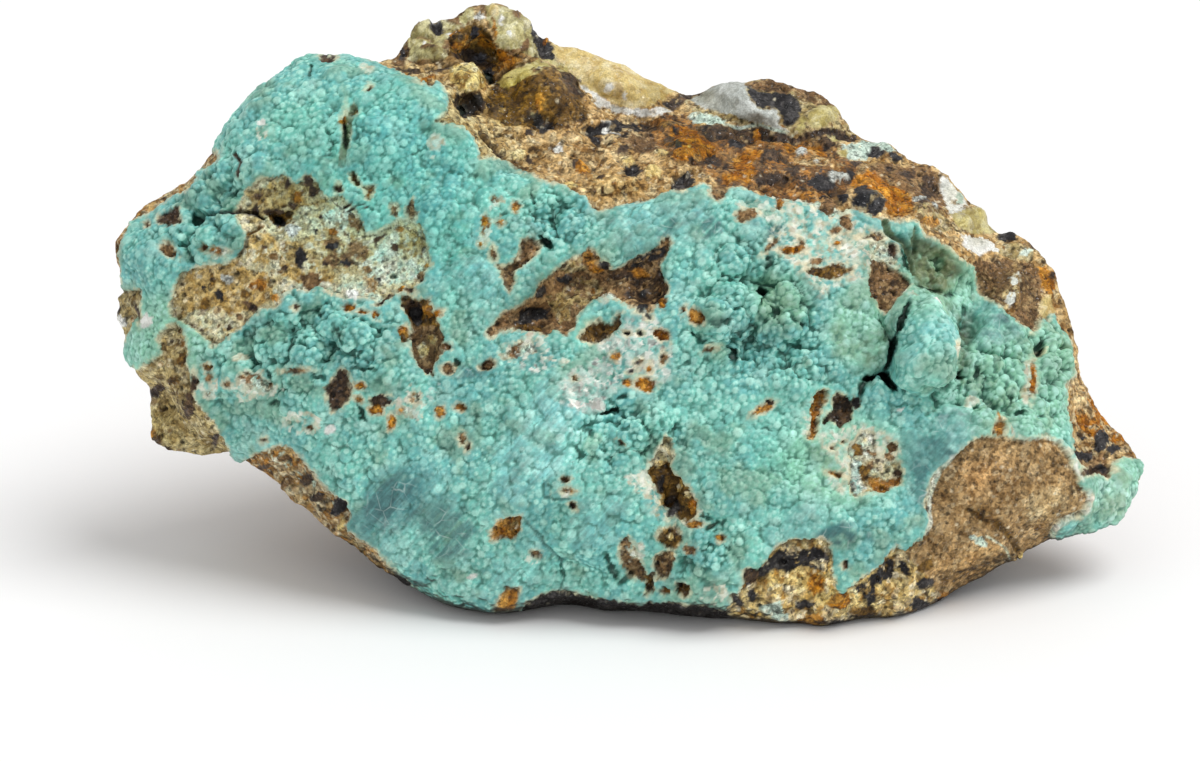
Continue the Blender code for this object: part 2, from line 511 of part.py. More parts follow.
def reduced(stone):
    """Keeps the stone's shape with few triangles, and cuts its foot flat to rest on."""
    count = sum(len(face.vertices) - 2 for face in stone.data.polygons)
    fewer = stone.modifiers.new("fewer triangles", "DECIMATE")
    fewer.ratio = KEPT_TRIANGLES / count
    fewer.vertex_group = "coarse"
    fewer.use_collapse_triangulate = True
    mesh = evaluated_copy(stone, NAME)
    stone.modifiers.clear()
    work = bmesh.new()
    work.from_mesh(mesh)
    cut = bmesh.ops.bisect_plane(
        work,
        geom=[*work.verts, *work.edges, *work.faces],
        plane_co=(0, 0, 0),
        plane_no=(0, 0, -1),
        clear_outer=True,
    )
    rim = [part for part in cut["geom_cut"] if isinstance(part, bmesh.types.BMEdge)]
    bmesh.ops.contextual_create(work, geom=rim)
    bmesh.ops.triangulate(work, faces=work.faces)
    work.to_mesh(mesh)
    work.free()
    stone.vertex_groups.clear()
    mesh.name = NAME
    mesh.transform(((MM, 0, 0, 0), (0, MM, 0, 0), (0, 0, MM, 0), (0, 0, 0, 1)))
    stone.data = mesh


def crust_material():
    """The blue-green copper crust that covers the front."""
    material = bpy.data.materials.new("copper_crust")
    material.use_nodes = True
    surface = material.node_tree.nodes["Principled BSDF"]
    surface.inputs["Base Color"].default_value = CRUST_COLOUR
    surface.inputs["Roughness"].default_value = CRUST_ROUGHNESS
    surface.inputs["Metallic"].default_value = 0.0
    return material


def main():
    for old in list(bpy.data.objects):
        bpy.data.objects.remove(old)
    collection = bpy.data.collections.new("copper_ore")
    bpy.context.scene.collection.children.link(collection)
    stone = bpy.data.objects.new(NAME, cage())
    collection.objects.link(stone)
    remeshed(stone)
    sculpted(stone)
    reduced(stone)
    stone.data.materials.append(crust_material())


main()
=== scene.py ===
"""Dresses the copper ore specimen: its fine surface, its colours, the light, the floor and the camera.

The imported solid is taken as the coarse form. A finer skin is made from it, on which the crust gets
its round grains and the bare stone its broken grain. What the front shows is painted from named
areas and spots, drawn in millimetres on a sheet that stands square to the camera's sight line:
across from its left edge, down from its top.
"""

import math
from itertools import product

import bmesh
import bpy
import numpy as np
from mathutils import Matrix, Vector, kdtree


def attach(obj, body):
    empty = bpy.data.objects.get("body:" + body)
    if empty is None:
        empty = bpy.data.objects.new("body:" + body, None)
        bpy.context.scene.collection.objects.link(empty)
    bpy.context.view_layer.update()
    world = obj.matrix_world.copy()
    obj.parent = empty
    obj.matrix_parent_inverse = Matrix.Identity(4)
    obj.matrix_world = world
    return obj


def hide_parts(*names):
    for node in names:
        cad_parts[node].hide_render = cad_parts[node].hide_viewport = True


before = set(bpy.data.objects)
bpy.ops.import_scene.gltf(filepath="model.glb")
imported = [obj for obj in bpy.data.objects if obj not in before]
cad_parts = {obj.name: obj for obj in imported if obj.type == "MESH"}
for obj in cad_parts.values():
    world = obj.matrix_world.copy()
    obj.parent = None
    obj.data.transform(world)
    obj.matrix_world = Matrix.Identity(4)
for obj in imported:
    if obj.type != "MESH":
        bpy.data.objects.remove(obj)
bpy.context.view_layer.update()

NODE = "copper_ore_specimen"
MM = 0.001

# The sheet and the camera, as the solid was drawn.
SHEET_MIDDLE = (60.0, 38.1)
SHEET_WIDTH = 120.0
EYE_DISTANCE = 420.0
ELEVATION = math.radians(22.0)
MIDDLE_HEIGHT = 23.2
SENSOR_WIDTH = 36.0
# Nothing nearer to the camera than this is drawn, in metres.
CLIP_START = 0.01
# The way that the camera looks.
SIGHT = np.array((0.0, math.cos(ELEVATION), -math.sin(ELEVATION)))

# The light's strength, how wide its source is and which way it shines, then the surrounding and the floor.
KEY_STRENGTH = 1.7
KEY_SPREAD = math.radians(38.0)
KEY_WAY = (-0.48, 0.04, -1.0)
SKY_STRENGTH = 0.62
FLOOR_SIZE = 8.0
FLOOR_TONE = 0.95

# The skin: the size of its first even mesh, its rounding, and where the finer half begins.
SKIN_SIZE = 0.65
SKIN_ROUNDING = 5
FINE_FACING = 0.02
FRONT_PIECES = 5
BACK_PIECES = 2
# How far the bare stone's shading follows its single small faces.
FACET_SHARE = 0.7
# The foot stays flat up to this height, and the relief is whole this much higher.
FOOT_HEIGHT = 0.25
FOOT_RISE = 1.2
# How deep a gap is cut along the sight line, as a share of its drawn depth.
GAP_SHARE = 0.8
# How high the crust lies on the stone, and the size and height of its widest swellings.
CRUST_HEIGHT = 0.34
SWELL_SIZE = 4.5
SWELL_HEIGHT = 0.24
# The bare stone's broken blocks, chips and rough ground: their sizes and heights.
BLOCK_SIZE = 4.8
BLOCK_HEIGHT = 0.46
CHIP_SIZE = 1.9
CHIP_HEIGHT = 0.16
ROUGH_SIZE = 2.6
ROUGH_HEIGHT = 0.26

# The stone's grains, coarse grains, specks, fragments and broken faces: their sizes in millimetres.
GRAIN_SIZE = 0.42
COARSE_SIZE = 1.05
SPECK_SIZE = 0.75
FRAGMENT_SIZE = 1.25
FACE_SIZE = 0.85
# How much shorter the grains are counted along the sight line, so that slanted stone shows them whole.
SIGHT_SQUEEZE = 0.42
# A fixed turn, so that no noise lies along the stone's axes.
TWIST = np.array(Matrix.Rotation(0.7, 3, "X") @ Matrix.Rotation(1.1, 3, "Z") @ Matrix.Rotation(0.4, 3, "Y"))

# How far the crust's and the plate's streaks are turned on the sheet, in degrees.
CRUST_STREAKS = 48.0
PLATE_STREAKS = 62.0

# What depth_inside says of a place far outside an outline.
FAR_OUTSIDE = -9.0

# The finer shading: how many features each of its patterns has to a metre.
FINE_SCALE = 5200.0
SPARK_SCALE = 4100.0
CRYSTAL_SCALE = 3300.0
SPECK_SCALE = 2300.0
PIT_SCALE = 1500.0
FADING_SCALE = 700.0
CRACKLE_SCALE = 540.0
HATCH_SCALE = (500.0, 4200.0)
# How strongly the finest grain tilts the shading, and over what height in metres.
BUMP_STRENGTH = 0.2
BUMP_HEIGHT = 0.00012

# The kinds of stone: how far each stands out, and its grains' colours as share, red, green and blue.
KINDS = {
    "tan": (0.0, ((30, 214, 204, 158), (24, 194, 178, 126), (18, 194, 206, 180), (12, 156, 126, 78),
                  (8, 98, 74, 46), (12, 234, 230, 208))),
    "clay": (0.0, ((30, 196, 176, 122), (24, 168, 142, 86), (16, 128, 98, 52), (18, 216, 204, 160),
                   (12, 74, 52, 28))),
    "mixed": (0.0, ((24, 160, 120, 68), (20, 112, 82, 44), (18, 196, 168, 112), (12, 58, 42, 26),
                    (16, 232, 220, 182), (10, 178, 122, 46))),
    "slope": (0.0, ((26, 214, 180, 124), (22, 178, 142, 86), (16, 132, 94, 46), (16, 236, 214, 164),
                    (12, 80, 54, 24), (8, 40, 30, 20))),
    "brown": (0.0, ((28, 148, 114, 76), (26, 116, 88, 56), (18, 82, 62, 40), (18, 180, 150, 106),
                    (10, 50, 38, 28))),
    "umber": (-0.1, ((30, 106, 77, 29), (28, 74, 51, 16), (24, 146, 110, 46), (18, 40, 28, 11))),
    "plate": (0.0, ((30, 170, 138, 92), (26, 190, 158, 110), (22, 136, 104, 62), (10, 214, 190, 146),
                    (12, 92, 66, 34))),
    "khaki": (0.0, ((26, 194, 176, 122), (24, 158, 136, 86), (18, 116, 94, 54), (20, 222, 210, 164),
                    (12, 64, 50, 32))),
    "lichen": (0.05, ((30, 210, 203, 148), (24, 182, 172, 114), (18, 236, 232, 196), (14, 142, 126, 72),
                      (14, 92, 76, 42))),
    "lime": (0.05, ((30, 198, 184, 114), (26, 168, 152, 86), (20, 222, 214, 162), (14, 120, 100, 52))),
    "ochre": (0.0, ((30, 192, 162, 98), (24, 166, 134, 72), (18, 214, 192, 136), (12, 124, 94, 48),
                    (12, 226, 214, 174), (8, 70, 50, 28))),
    "dark": (-0.15, ((30, 78, 58, 40), (30, 54, 40, 29), (24, 36, 27, 22), (16, 112, 86, 58))),
    "black": (-0.12, ((34, 46, 43, 44), (30, 31, 29, 31), (24, 20, 18, 20), (12, 92, 88, 86))),
    "rust": (0.0, ((28, 160, 96, 14), (26, 188, 126, 32), (20, 112, 66, 9), (16, 206, 152, 66),
                   (10, 66, 41, 12))),
    "rusty": (0.0, ((24, 98, 70, 36), (20, 66, 49, 30), (20, 150, 98, 38), (12, 38, 30, 25),
                    (14, 196, 154, 96), (10, 182, 122, 46))),
    "amber": (0.0, ((34, 184, 126, 42), (30, 150, 96, 28), (20, 212, 164, 84), (16, 88, 57, 20))),
    "gold": (0.0, ((26, 244, 222, 158), (22, 218, 186, 112), (20, 164, 122, 56), (14, 84, 60, 28),
                   (10, 36, 29, 22), (8, 252, 244, 214))),
    "cream": (0.1, ((34, 222, 200, 134), (28, 206, 180, 112), (24, 238, 226, 184), (14, 176, 142, 82))),
    "grey": (0.1, ((34, 192, 198, 192), (26, 166, 168, 158), (26, 220, 224, 218), (14, 122, 120, 106))),
    "white": (0.05, ((40, 238, 238, 230), (26, 218, 220, 212), (24, 250, 250, 246), (10, 170, 172, 164))),
    "pale": (0.0, ((36, 196, 216, 202), (30, 176, 198, 182), (22, 216, 228, 214), (12, 142, 160, 144))),
    "powder": (0.0, ((26, 226, 230, 216), (20, 190, 204, 194), (24, 146, 198, 186), (14, 92, 84, 84),
                     (16, 246, 246, 236))),
    "chalk": (0.0, ((30, 222, 222, 196), (22, 194, 196, 166), (20, 168, 208, 192), (12, 150, 122, 80),
                    (16, 240, 242, 230))),
    "olive": (0.0, ((30, 92, 112, 80), (26, 66, 80, 52), (22, 124, 148, 118), (22, 48, 54, 30))),
    "teal": (0.0, ((34, 92, 148, 140), (30, 70, 122, 118), (20, 122, 178, 168), (16, 54, 96, 94))),
}
# The kinds that are bare stone. The others only tint the crust where they lie on it.
BARE = set((
    "brown mixed slope tan clay ochre khaki lichen lime plate "
    "umber dark black rust rusty amber gold cream grey").split())

# What marks some kinds out: an even surface, embedded fragments, clear single grains, and a gloss.
TRAITS = {
    "even": set("cream grey white lichen lime".split()),
    "busy": set("tan clay ochre mixed chalk khaki".split()),
    "crisp": set("gold mixed slope rusty brown dark black umber rust plate powder".split()),
    "glossy": set("umber lichen lime black dark amber rusty gold".split()),
}
# The fragments' colours.
FRAGMENTS = ((120, 88, 50), (92, 68, 40), (158, 108, 44), (52, 42, 34), (150, 126, 88), (196, 184, 140))

# The crust's colours, then the painted shade of deep gaps and hollows, bare patches' rims, glints and the
# underside's painted shade.
# A painted highlight for the round grains' tops.
CRUST_TOP_HIGHLIGHT = (180, 233, 217)
CRUST_PALE = (174, 219, 206)
CRUST_MIDDLE = (116, 192, 176)
# A painted shade for the crust's creases.
CRUST_CREASE_SHADE = (62, 124, 108)
CRUST_GREEN = (144, 200, 166)
CRUST_BLUE = (102, 178, 174)
CRUST_STAIN = (126, 148, 108)
CRUST_SMOOTH = (130, 184, 182)
GLASSY = (44, 88, 92)
DEEP_GAP_SHADE = (16, 34, 25)
HOLLOW_SHADE = (34, 80, 66)
RIM = (218, 208, 172)
GLINT = (236, 226, 196)
UNDERSIDE_SHADE = (24, 18, 13)
# The crackle's colour as the renderer counts it.
CRACKLE = (0.62, 0.76, 0.72, 1.0)

# The bare stone above the crust, the bare window at the left and the brown plate at the right.
UPPER_STONE = [
    (37.2, 6.4), (39.5, 7.2), (41.0, 7.7), (42.3, 8.2), (43.0, 8.8), (43.7, 8.3), (44.4, 9.0),
    (44.7, 10.0), (44.7, 11.4), (43.6, 12.3), (46.2, 12.8), (47.2, 13.8), (47.8, 14.8), (48.0, 16.0),
    (49.5, 15.9), (50.5, 16.1), (52.0, 17.0), (53.5, 17.7), (54.0, 18.3), (56.0, 18.6), (57.5, 19.3),
    (58.7, 19.8), (59.7, 21.0), (60.6, 20.9), (62.0, 20.6), (64.0, 20.3), (65.5, 19.8), (66.5, 19.2),
    (67.2, 18.9), (68.3, 19.1), (69.5, 18.7), (70.4, 18.3), (71.0, 18.6), (71.4, 19.6), (72.2, 19.8),
    (72.8, 19.0), (73.8, 18.7), (74.8, 18.8), (75.8, 19.5), (77.0, 19.8), (78.5, 19.6), (80.0, 20.0),
    (81.8, 20.6), (83.0, 21.7), (84.2, 21.4), (85.0, 21.0), (86.2, 21.3), (87.0, 21.7), (88.5, 22.0),
    (91.8, 22.2), (92.6, 23.4), (94.0, 24.0), (95.3, 24.9), (96.2, 26.2), (97.2, 26.6), (97.6, 28.0),
    (97.9, 29.2), (98.8, 29.9), (100.0, 30.6), (101.2, 31.6), (102.0, 32.4), (103.2, 33.4), (103.6, 32.4),
    (104.2, 31.8), (105.2, 31.4), (106.0, 32.6), (106.8, 34.4), (107.3, 36.4), (107.4, 37.8),
    (106.5, 38.6), (106.7, 40.4), (107.1, 43.0), (107.2, 44.8), (107.8, 46.2), (109.4, 47.6),
    (110.6, 47.8), (111.2, 46.4), (112.4, 45.9), (118.0, 45.7), (118.0, -3.0), (36.6, -3.0),
]
WINDOW = [
    (24.4, 19.2), (26.2, 17.9), (28.4, 17.7), (29.8, 18.4), (31.2, 17.6), (32.0, 18.6), (32.4, 19.5),
    (33.2, 19.9), (34.2, 19.6), (35.0, 20.6), (36.0, 22.0), (36.6, 23.4), (37.6, 23.4), (38.8, 22.8),
    (40.2, 21.9), (41.8, 22.4), (42.6, 24.0), (42.8, 25.4), (43.0, 26.6), (42.2, 27.8), (41.4, 28.8),
    (40.0, 29.4), (38.2, 30.4), (36.4, 29.6), (34.8, 29.8), (33.4, 29.3), (32.0, 28.8), (30.2, 28.8),
    (28.6, 29.1), (27.6, 30.6), (25.6, 31.0), (24.4, 32.3), (22.6, 33.7), (21.3, 34.4), (20.2, 33.4),
    (18.6, 32.4), (17.3, 31.6), (17.0, 30.4), (17.6, 29.0), (18.3, 27.2), (20.0, 26.8), (21.8, 26.6),
    (23.6, 25.8), (24.3, 24.8), (24.9, 23.5), (23.9, 22.4), (23.8, 21.2), (24.1, 20.2),
]
PLATE = [
    (90.4, 55.2), (92.0, 54.0), (92.5, 53.0), (92.8, 52.0), (92.5, 50.8), (92.6, 49.5), (93.2, 48.0),
    (93.8, 47.0), (95.0, 46.0), (96.0, 45.0), (97.2, 44.0), (98.5, 43.8), (100.0, 43.7), (101.2, 44.0),
    (103.0, 44.0), (104.5, 43.8), (105.8, 44.5), (106.8, 45.5), (107.4, 47.0), (108.0, 48.5),
    (108.6, 49.5), (108.5, 50.5), (107.8, 51.5), (106.2, 51.8), (105.5, 52.5), (105.0, 53.5),
    (106.0, 54.0), (104.0, 57.0), (94.0, 62.0),
]

# Areas that are painted one after another: kind, how strongly, and outline.
AREAS = [
    ("slope", 1.0, UPPER_STONE),
    ("tan", 1.0, WINDOW),
    ("plate", 1.0, PLATE),
    # the left edge, the knob below it and the strip that runs down from there
    ("mixed", 1.0, [
        (20.8, 15.2), (21.5, 15.0), (21.7, 15.8), (21.4, 16.5), (20.4, 17.0), (19.7, 17.1), (19.8, 17.9),
        (19.2, 19.0), (18.0, 19.6), (16.6, 20.2), (15.0, 21.2), (13.6, 22.0), (12.9, 22.6), (12.6, 23.6),
        (12.2, 24.2), (12.0, 25.6), (12.1, 27.0), (12.2, 28.1), (9.0, 28.1), (9.0, 20.0), (18.5, 12.5)]),
    ("dark", 0.9, [(16.0, 21.7), (17.4, 21.0), (18.0, 20.9), (18.0, 22.3), (17.0, 22.6), (16.0, 22.4)]),
    ("khaki", 1.0, [
        (11.0, 28.7), (12.8, 29.0), (14.2, 28.9), (14.3, 29.8), (13.9, 31.4), (13.3, 32.4), (12.8, 33.6),
        (12.7, 34.3), (9.0, 34.0), (9.0, 29.0)]),
    ("khaki", 1.0, [
        (12.6, 36.5), (14.0, 36.8), (15.2, 36.2), (16.2, 35.2), (16.0, 33.6), (16.8, 32.6), (17.6, 32.4),
        (18.4, 33.4), (18.7, 35.0), (18.8, 36.6), (19.1, 38.2), (19.6, 39.8), (20.4, 41.0), (21.6, 42.8),
        (22.8, 44.6), (23.4, 45.4), (23.0, 48.0), (13.0, 48.0), (11.0, 40.0)]),
    ("mixed", 1.0, [
        (24.6, 45.7), (26.2, 45.0), (27.4, 44.6), (28.2, 44.4), (29.2, 44.8), (30.2, 45.6), (30.8, 46.8),
        (31.6, 47.9), (32.6, 48.9), (33.6, 49.6), (34.5, 50.1), (35.0, 51.4), (34.6, 52.3), (35.0, 53.1),
        (36.0, 54.0), (37.2, 54.8), (38.4, 55.6), (39.4, 56.8), (40.0, 57.6), (40.6, 58.4), (38.0, 60.0),
        (28.0, 54.0), (23.0, 47.0)]),
    ("chalk", 0.28, [
        (26.4, 44.8), (29.0, 44.6), (30.6, 46.4), (32.4, 48.6), (34.4, 50.2), (34.2, 51.6), (31.6, 49.8),
        (28.6, 47.2)]),
    # in the window
    ("ochre", 0.9, [
        (17.4, 30.6), (18.2, 28.0), (19.4, 26.8), (21.6, 26.6), (23.6, 25.8), (25.0, 27.0), (26.8, 27.4),
        (27.4, 29.4), (26.0, 30.6), (24.2, 31.4), (22.0, 31.2), (20.4, 31.6), (19.0, 31.4)]),
    ("tan", 1.0, [
        (19.6, 31.0), (21.4, 30.8), (23.4, 31.6), (24.4, 31.0), (25.6, 30.6), (24.4, 32.6), (22.6, 33.8),
        (21.3, 34.5), (20.0, 33.4), (18.8, 32.2)]),
    ("ochre", 0.8, [
        (25.0, 23.6), (26.4, 23.2), (27.4, 23.8), (27.8, 25.2), (27.0, 26.4), (25.4, 26.4), (24.6, 25.4)]),
    ("ochre", 0.7, [
        (28.0, 25.8), (29.4, 26.6), (32.4, 27.0), (34.0, 27.6), (33.0, 28.4), (29.6, 28.2), (28.0, 27.4)]),
    ("clay", 0.66, [
        (27.8, 24.4), (31.0, 23.6), (33.4, 23.2), (36.0, 23.6), (37.0, 25.2), (36.6, 27.2), (34.0, 27.8),
        (31.4, 27.2), (29.0, 26.6)]),
    ("brown", 0.42, [(32.4, 24.0), (35.0, 23.6), (36.8, 25.0), (36.4, 27.0), (34.0, 27.4), (32.4, 26.0)]),
    ("clay", 0.95, [
        (24.4, 19.2), (26.0, 18.6), (27.0, 19.2), (28.0, 18.2), (29.2, 18.2), (29.8, 19.0), (31.2, 17.7),
        (32.0, 18.6), (31.8, 19.6), (33.1, 19.8), (31.4, 20.4), (30.4, 20.6), (29.6, 21.0), (29.0, 22.2),
        (28.0, 22.8), (27.2, 22.4), (26.6, 21.2), (25.8, 22.8), (24.8, 22.2), (24.6, 21.0), (25.2, 20.2)]),
    ("chalk", 0.9, [(33.6, 20.6), (35.0, 20.6), (35.0, 22.2), (34.2, 23.4), (32.6, 22.6), (32.2, 21.4)]),
    ("chalk", 0.9, [
        (36.2, 26.4), (37.4, 25.4), (38.4, 23.8), (39.8, 22.6), (39.6, 24.6), (39.4, 25.8), (41.2, 26.0),
        (42.4, 26.8), (41.4, 27.8), (39.8, 28.2), (38.2, 28.6), (36.8, 28.0)]),
    ("clay", 0.7, [(39.8, 22.8), (41.4, 22.8), (42.2, 24.2), (42.2, 25.6), (41.0, 25.8), (39.8, 25.0)]),
    ("chalk", 0.8, [
        (27.4, 29.2), (29.8, 28.2), (32.4, 28.2), (34.4, 28.4), (36.2, 28.4), (37.8, 29.4), (38.4, 30.4),
        (36.4, 30.0), (34.6, 30.2), (32.0, 29.2), (28.8, 29.4)]),
    ("brown", 1.0, [(29.8, 27.7), (30.8, 27.3), (31.9, 27.4), (32.0, 28.2), (31.2, 29.0), (30.3, 28.7)]),
    ("amber", 0.9, [(24.9, 28.4), (25.9, 27.8), (26.8, 28.2), (26.7, 29.0), (26.0, 29.3), (25.2, 28.9)]),
    ("umber", 0.9, [
        (26.5, 21.2), (27.4, 20.8), (28.8, 21.2), (29.4, 21.6), (28.6, 22.6), (27.8, 22.9), (27.0, 22.2)]),
    ("brown", 0.9, [(34.8, 24.4), (35.8, 23.9), (36.6, 24.6), (36.8, 25.4), (36.0, 25.9), (35.0, 25.4)]),
    ("plate", 0.9, [(36.4, 27.8), (37.2, 27.7), (37.9, 28.6), (37.6, 29.4), (36.9, 29.2)]),
    ("khaki", 0.8, [(17.4, 29.6), (18.2, 29.2), (18.9, 30.4), (18.8, 31.7), (18.0, 31.9), (17.3, 31.0)]),
    ("brown", 1.0, [(34.8, 21.4), (35.6, 21.8), (36.2, 22.6), (35.8, 23.4), (35.1, 22.8)]),
    ("brown", 1.0, [(40.6, 21.0), (41.0, 20.2), (41.5, 19.9), (41.7, 21.2), (41.4, 22.0), (40.8, 21.8)]),
    ("brown", 1.0, [(39.0, 20.4), (39.8, 20.8), (39.8, 21.7), (39.1, 21.6)]),
    ("rust", 1.0, [(35.1, 17.4), (35.4, 17.2), (35.8, 18.0), (36.0, 18.6), (35.6, 18.4), (35.2, 18.0)]),
    ("rust", 1.0, [(36.2, 18.6), (37.4, 18.7), (37.4, 19.2), (36.9, 20.0), (36.6, 19.8), (36.6, 19.2)]),
    # the slot and the grains below the window
    ("umber", 1.0, [
        (40.0, 29.8), (41.0, 29.6), (43.0, 29.8), (43.4, 31.0), (43.8, 32.2), (44.2, 33.4), (42.6, 33.6),
        (41.2, 33.4), (41.0, 32.2), (40.4, 31.2)]),
    ("brown", 1.0, [
        (41.3, 32.6), (43.0, 32.4), (44.2, 33.2), (44.4, 34.4), (44.2, 35.6), (43.6, 36.4), (43.2, 37.6),
        (42.5, 37.2), (41.6, 36.4), (41.0, 35.2), (40.8, 34.0)]),
    # the black strip along the bottom edge: painted shadow under the overhang
    ("black", 1.0, [
        (39.6, 57.2), (42.0, 58.9), (44.2, 60.1), (47.0, 61.2), (49.6, 61.4), (51.9, 60.9), (53.0, 59.9),
        (54.4, 59.2), (56.4, 59.1), (58.2, 59.4), (60.4, 59.6), (64.0, 60.2), (67.8, 60.4), (71.4, 60.7),
        (73.0, 61.0), (74.0, 64.0), (38.0, 64.0)]),
    ("dark", 1.0, [
        (34.2, 36.8), (35.0, 37.2), (35.3, 39.0), (34.9, 40.2), (34.0, 41.0), (33.0, 41.2), (32.6, 40.0),
        (32.4, 39.0), (33.2, 38.0)]),
    # the small patches in the middle
    ("brown", 1.0, [
        (52.0, 24.0), (53.2, 23.7), (54.0, 24.8), (53.4, 25.6), (52.4, 26.5), (51.6, 27.2), (51.4, 28.4),
        (50.8, 29.2), (50.3, 28.5), (50.0, 27.4), (49.5, 26.5), (50.5, 26.8), (51.2, 26.4), (51.8, 25.5)]),
    ("brown", 1.0, [
        (50.3, 31.2), (52.0, 30.5), (53.2, 29.8), (53.8, 28.7), (55.0, 27.7), (55.8, 27.0), (56.6, 26.2),
        (58.0, 25.8), (58.8, 25.2), (60.0, 26.2), (61.2, 27.0), (62.5, 26.5), (64.0, 25.5), (65.5, 25.0),
        (66.3, 24.0), (67.2, 24.2), (67.0, 25.2), (66.0, 26.2), (66.2, 27.5), (66.8, 29.0), (66.4, 30.0),
        (65.6, 30.8), (64.8, 31.6), (63.6, 31.2), (62.2, 30.4), (61.0, 29.8), (60.0, 29.6), (59.2, 30.0),
        (58.4, 31.0), (57.6, 31.8), (57.4, 32.8), (56.6, 33.4), (55.5, 33.0), (54.5, 33.6), (53.4, 33.2),
        (52.0, 32.8), (51.3, 33.0), (50.0, 33.3), (49.0, 33.9), (48.6, 33.4), (49.4, 32.4)]),
    ("clay", 0.55, [
        (54.6, 29.8), (56.0, 29.0), (57.6, 28.0), (59.4, 27.8), (60.2, 28.8), (58.8, 30.2), (57.4, 31.6),
        (55.8, 32.2), (55.2, 31.0)]),
    ("clay", 0.8, [(55.8, 27.0), (56.8, 26.2), (58.4, 25.9), (58.6, 27.2), (57.0, 27.5)]),
    ("amber", 0.6, [(58.4, 25.6), (59.0, 24.9), (60.2, 26.2), (60.4, 27.4), (59.0, 27.6)]),
    ("umber", 0.8, [(51.6, 32.6), (53.0, 32.0), (54.4, 32.4), (53.8, 33.4), (52.4, 33.0)]),
    ("black", 0.7, [
        (51.3, 31.9), (52.2, 30.9), (53.6, 30.6), (55.0, 30.9), (54.8, 31.6), (53.6, 31.9), (52.4, 32.3),
        (51.4, 32.5)]),
    ("dark", 0.58, [
        (61.0, 27.6), (62.6, 26.8), (64.0, 26.0), (66.0, 25.4), (66.2, 27.4), (66.8, 29.0), (66.2, 30.2),
        (64.8, 31.4), (63.0, 30.6), (62.2, 29.0)]),
    ("black", 0.8, [
        (63.0, 26.6), (63.6, 25.6), (65.2, 24.9), (66.6, 24.7), (66.4, 25.6), (65.0, 26.2), (63.8, 27.0)]),
    ("umber", 1.0, [
        (57.8, 33.8), (58.8, 32.5), (60.0, 32.2), (61.2, 32.6), (62.2, 31.4), (62.0, 32.8), (61.0, 33.7),
        (60.0, 34.2), (58.8, 34.3)]),
    ("brown", 0.9, [
        (50.5, 35.8), (51.0, 35.0), (52.0, 34.1), (53.2, 34.2), (53.4, 35.0), (52.2, 35.4), (51.2, 36.0)]),
    ("brown", 1.0, [
        (87.0, 25.6), (88.2, 26.3), (89.4, 27.0), (90.2, 27.6), (90.8, 28.4), (90.5, 29.1), (89.8, 29.9),
        (89.2, 30.6), (88.6, 31.3), (87.9, 30.8), (87.1, 29.8), (86.8, 28.6), (86.9, 27.2)]),
    ("khaki", 0.8, [(87.0, 24.6), (88.0, 24.2), (89.2, 25.0), (89.4, 26.6), (88.2, 26.2), (87.2, 25.6)]),
    ("rust", 0.8, [
        (81.8, 39.2), (82.8, 39.0), (82.6, 40.2), (82.0, 41.5), (81.7, 43.0), (81.5, 44.0), (80.6, 44.0),
        (81.0, 42.5), (81.0, 41.0), (81.3, 39.8)]),
    ("dark", 1.0, [
        (83.8, 39.2), (84.6, 39.8), (85.2, 40.5), (85.0, 41.8), (84.0, 42.7), (83.2, 42.2), (82.4, 42.5),
        (82.6, 41.6), (83.4, 41.0), (83.3, 40.0)]),
    ("tan", 0.95, [
        (85.6, 43.8), (86.2, 43.1), (87.3, 43.2), (87.6, 44.4), (87.2, 45.9), (88.6, 46.1), (90.0, 46.4),
        (90.2, 48.2), (89.0, 48.9), (88.2, 49.4), (86.6, 49.3), (85.4, 49.4), (85.0, 48.4), (85.1, 46.2),
        (84.8, 44.9)]),
    ("powder", 0.9, [(85.0, 46.0), (86.2, 46.2), (86.0, 48.0), (86.8, 49.0), (85.7, 49.4), (85.0, 48.2)]),
    ("amber", 1.0, [
        (86.8, 47.6), (88.2, 48.0), (89.4, 47.8), (90.2, 47.6), (90.1, 48.4), (89.0, 48.7), (88.4, 49.3),
        (87.4, 49.3), (87.0, 48.6)]),
    ("chalk", 1.0, [
        (62.2, 47.8), (63.5, 47.0), (64.5, 46.8), (66.0, 44.2), (67.2, 44.2), (67.4, 46.4), (69.2, 48.6),
        (70.4, 51.4), (69.2, 52.6), (67.4, 52.4), (65.5, 52.0), (64.8, 50.8), (64.0, 49.5), (62.8, 48.8)]),
    ("umber", 1.0, [
        (64.8, 46.8), (65.5, 46.0), (66.2, 45.5), (66.8, 46.2), (67.2, 47.0), (68.2, 47.8), (69.0, 48.8),
        (69.8, 50.3), (69.6, 51.5), (68.6, 52.2), (67.8, 52.0), (66.8, 50.8), (66.0, 50.0), (65.5, 49.0),
        (65.0, 48.0)]),
    ("umber", 1.0, [(66.0, 52.8), (67.5, 52.7), (68.3, 53.5), (68.0, 54.8), (66.8, 54.8), (65.8, 53.8)]),
    ("brown", 1.0, [
        (62.2, 54.0), (62.8, 53.6), (64.0, 56.0), (64.5, 57.0), (64.3, 58.0), (63.2, 57.5), (62.2, 56.5),
        (61.9, 55.5)]),
    ("brown", 1.0, [
        (65.5, 55.5), (66.5, 55.2), (67.5, 55.0), (67.8, 56.0), (66.8, 57.5), (65.7, 57.8), (65.4, 56.5)]),
    ("umber", 1.0, [(64.3, 57.5), (65.2, 57.2), (65.5, 59.0), (64.8, 59.4)]),
    ("amber", 1.0, [
        (48.9, 53.0), (49.6, 51.9), (51.0, 51.6), (52.2, 51.5), (52.0, 53.0), (51.4, 54.0), (50.6, 53.6),
        (49.2, 54.0)]),
    ("amber", 1.0, [(50.6, 58.8), (52.0, 58.8), (51.7, 60.0), (50.9, 60.8), (49.5, 60.9), (49.9, 60.0)]),
    # the golden foot
    ("tan", 0.9, [
        (66.4, 43.6), (67.0, 44.0), (67.2, 45.6), (66.8, 46.4), (65.8, 46.2), (65.2, 46.6), (65.0, 46.0),
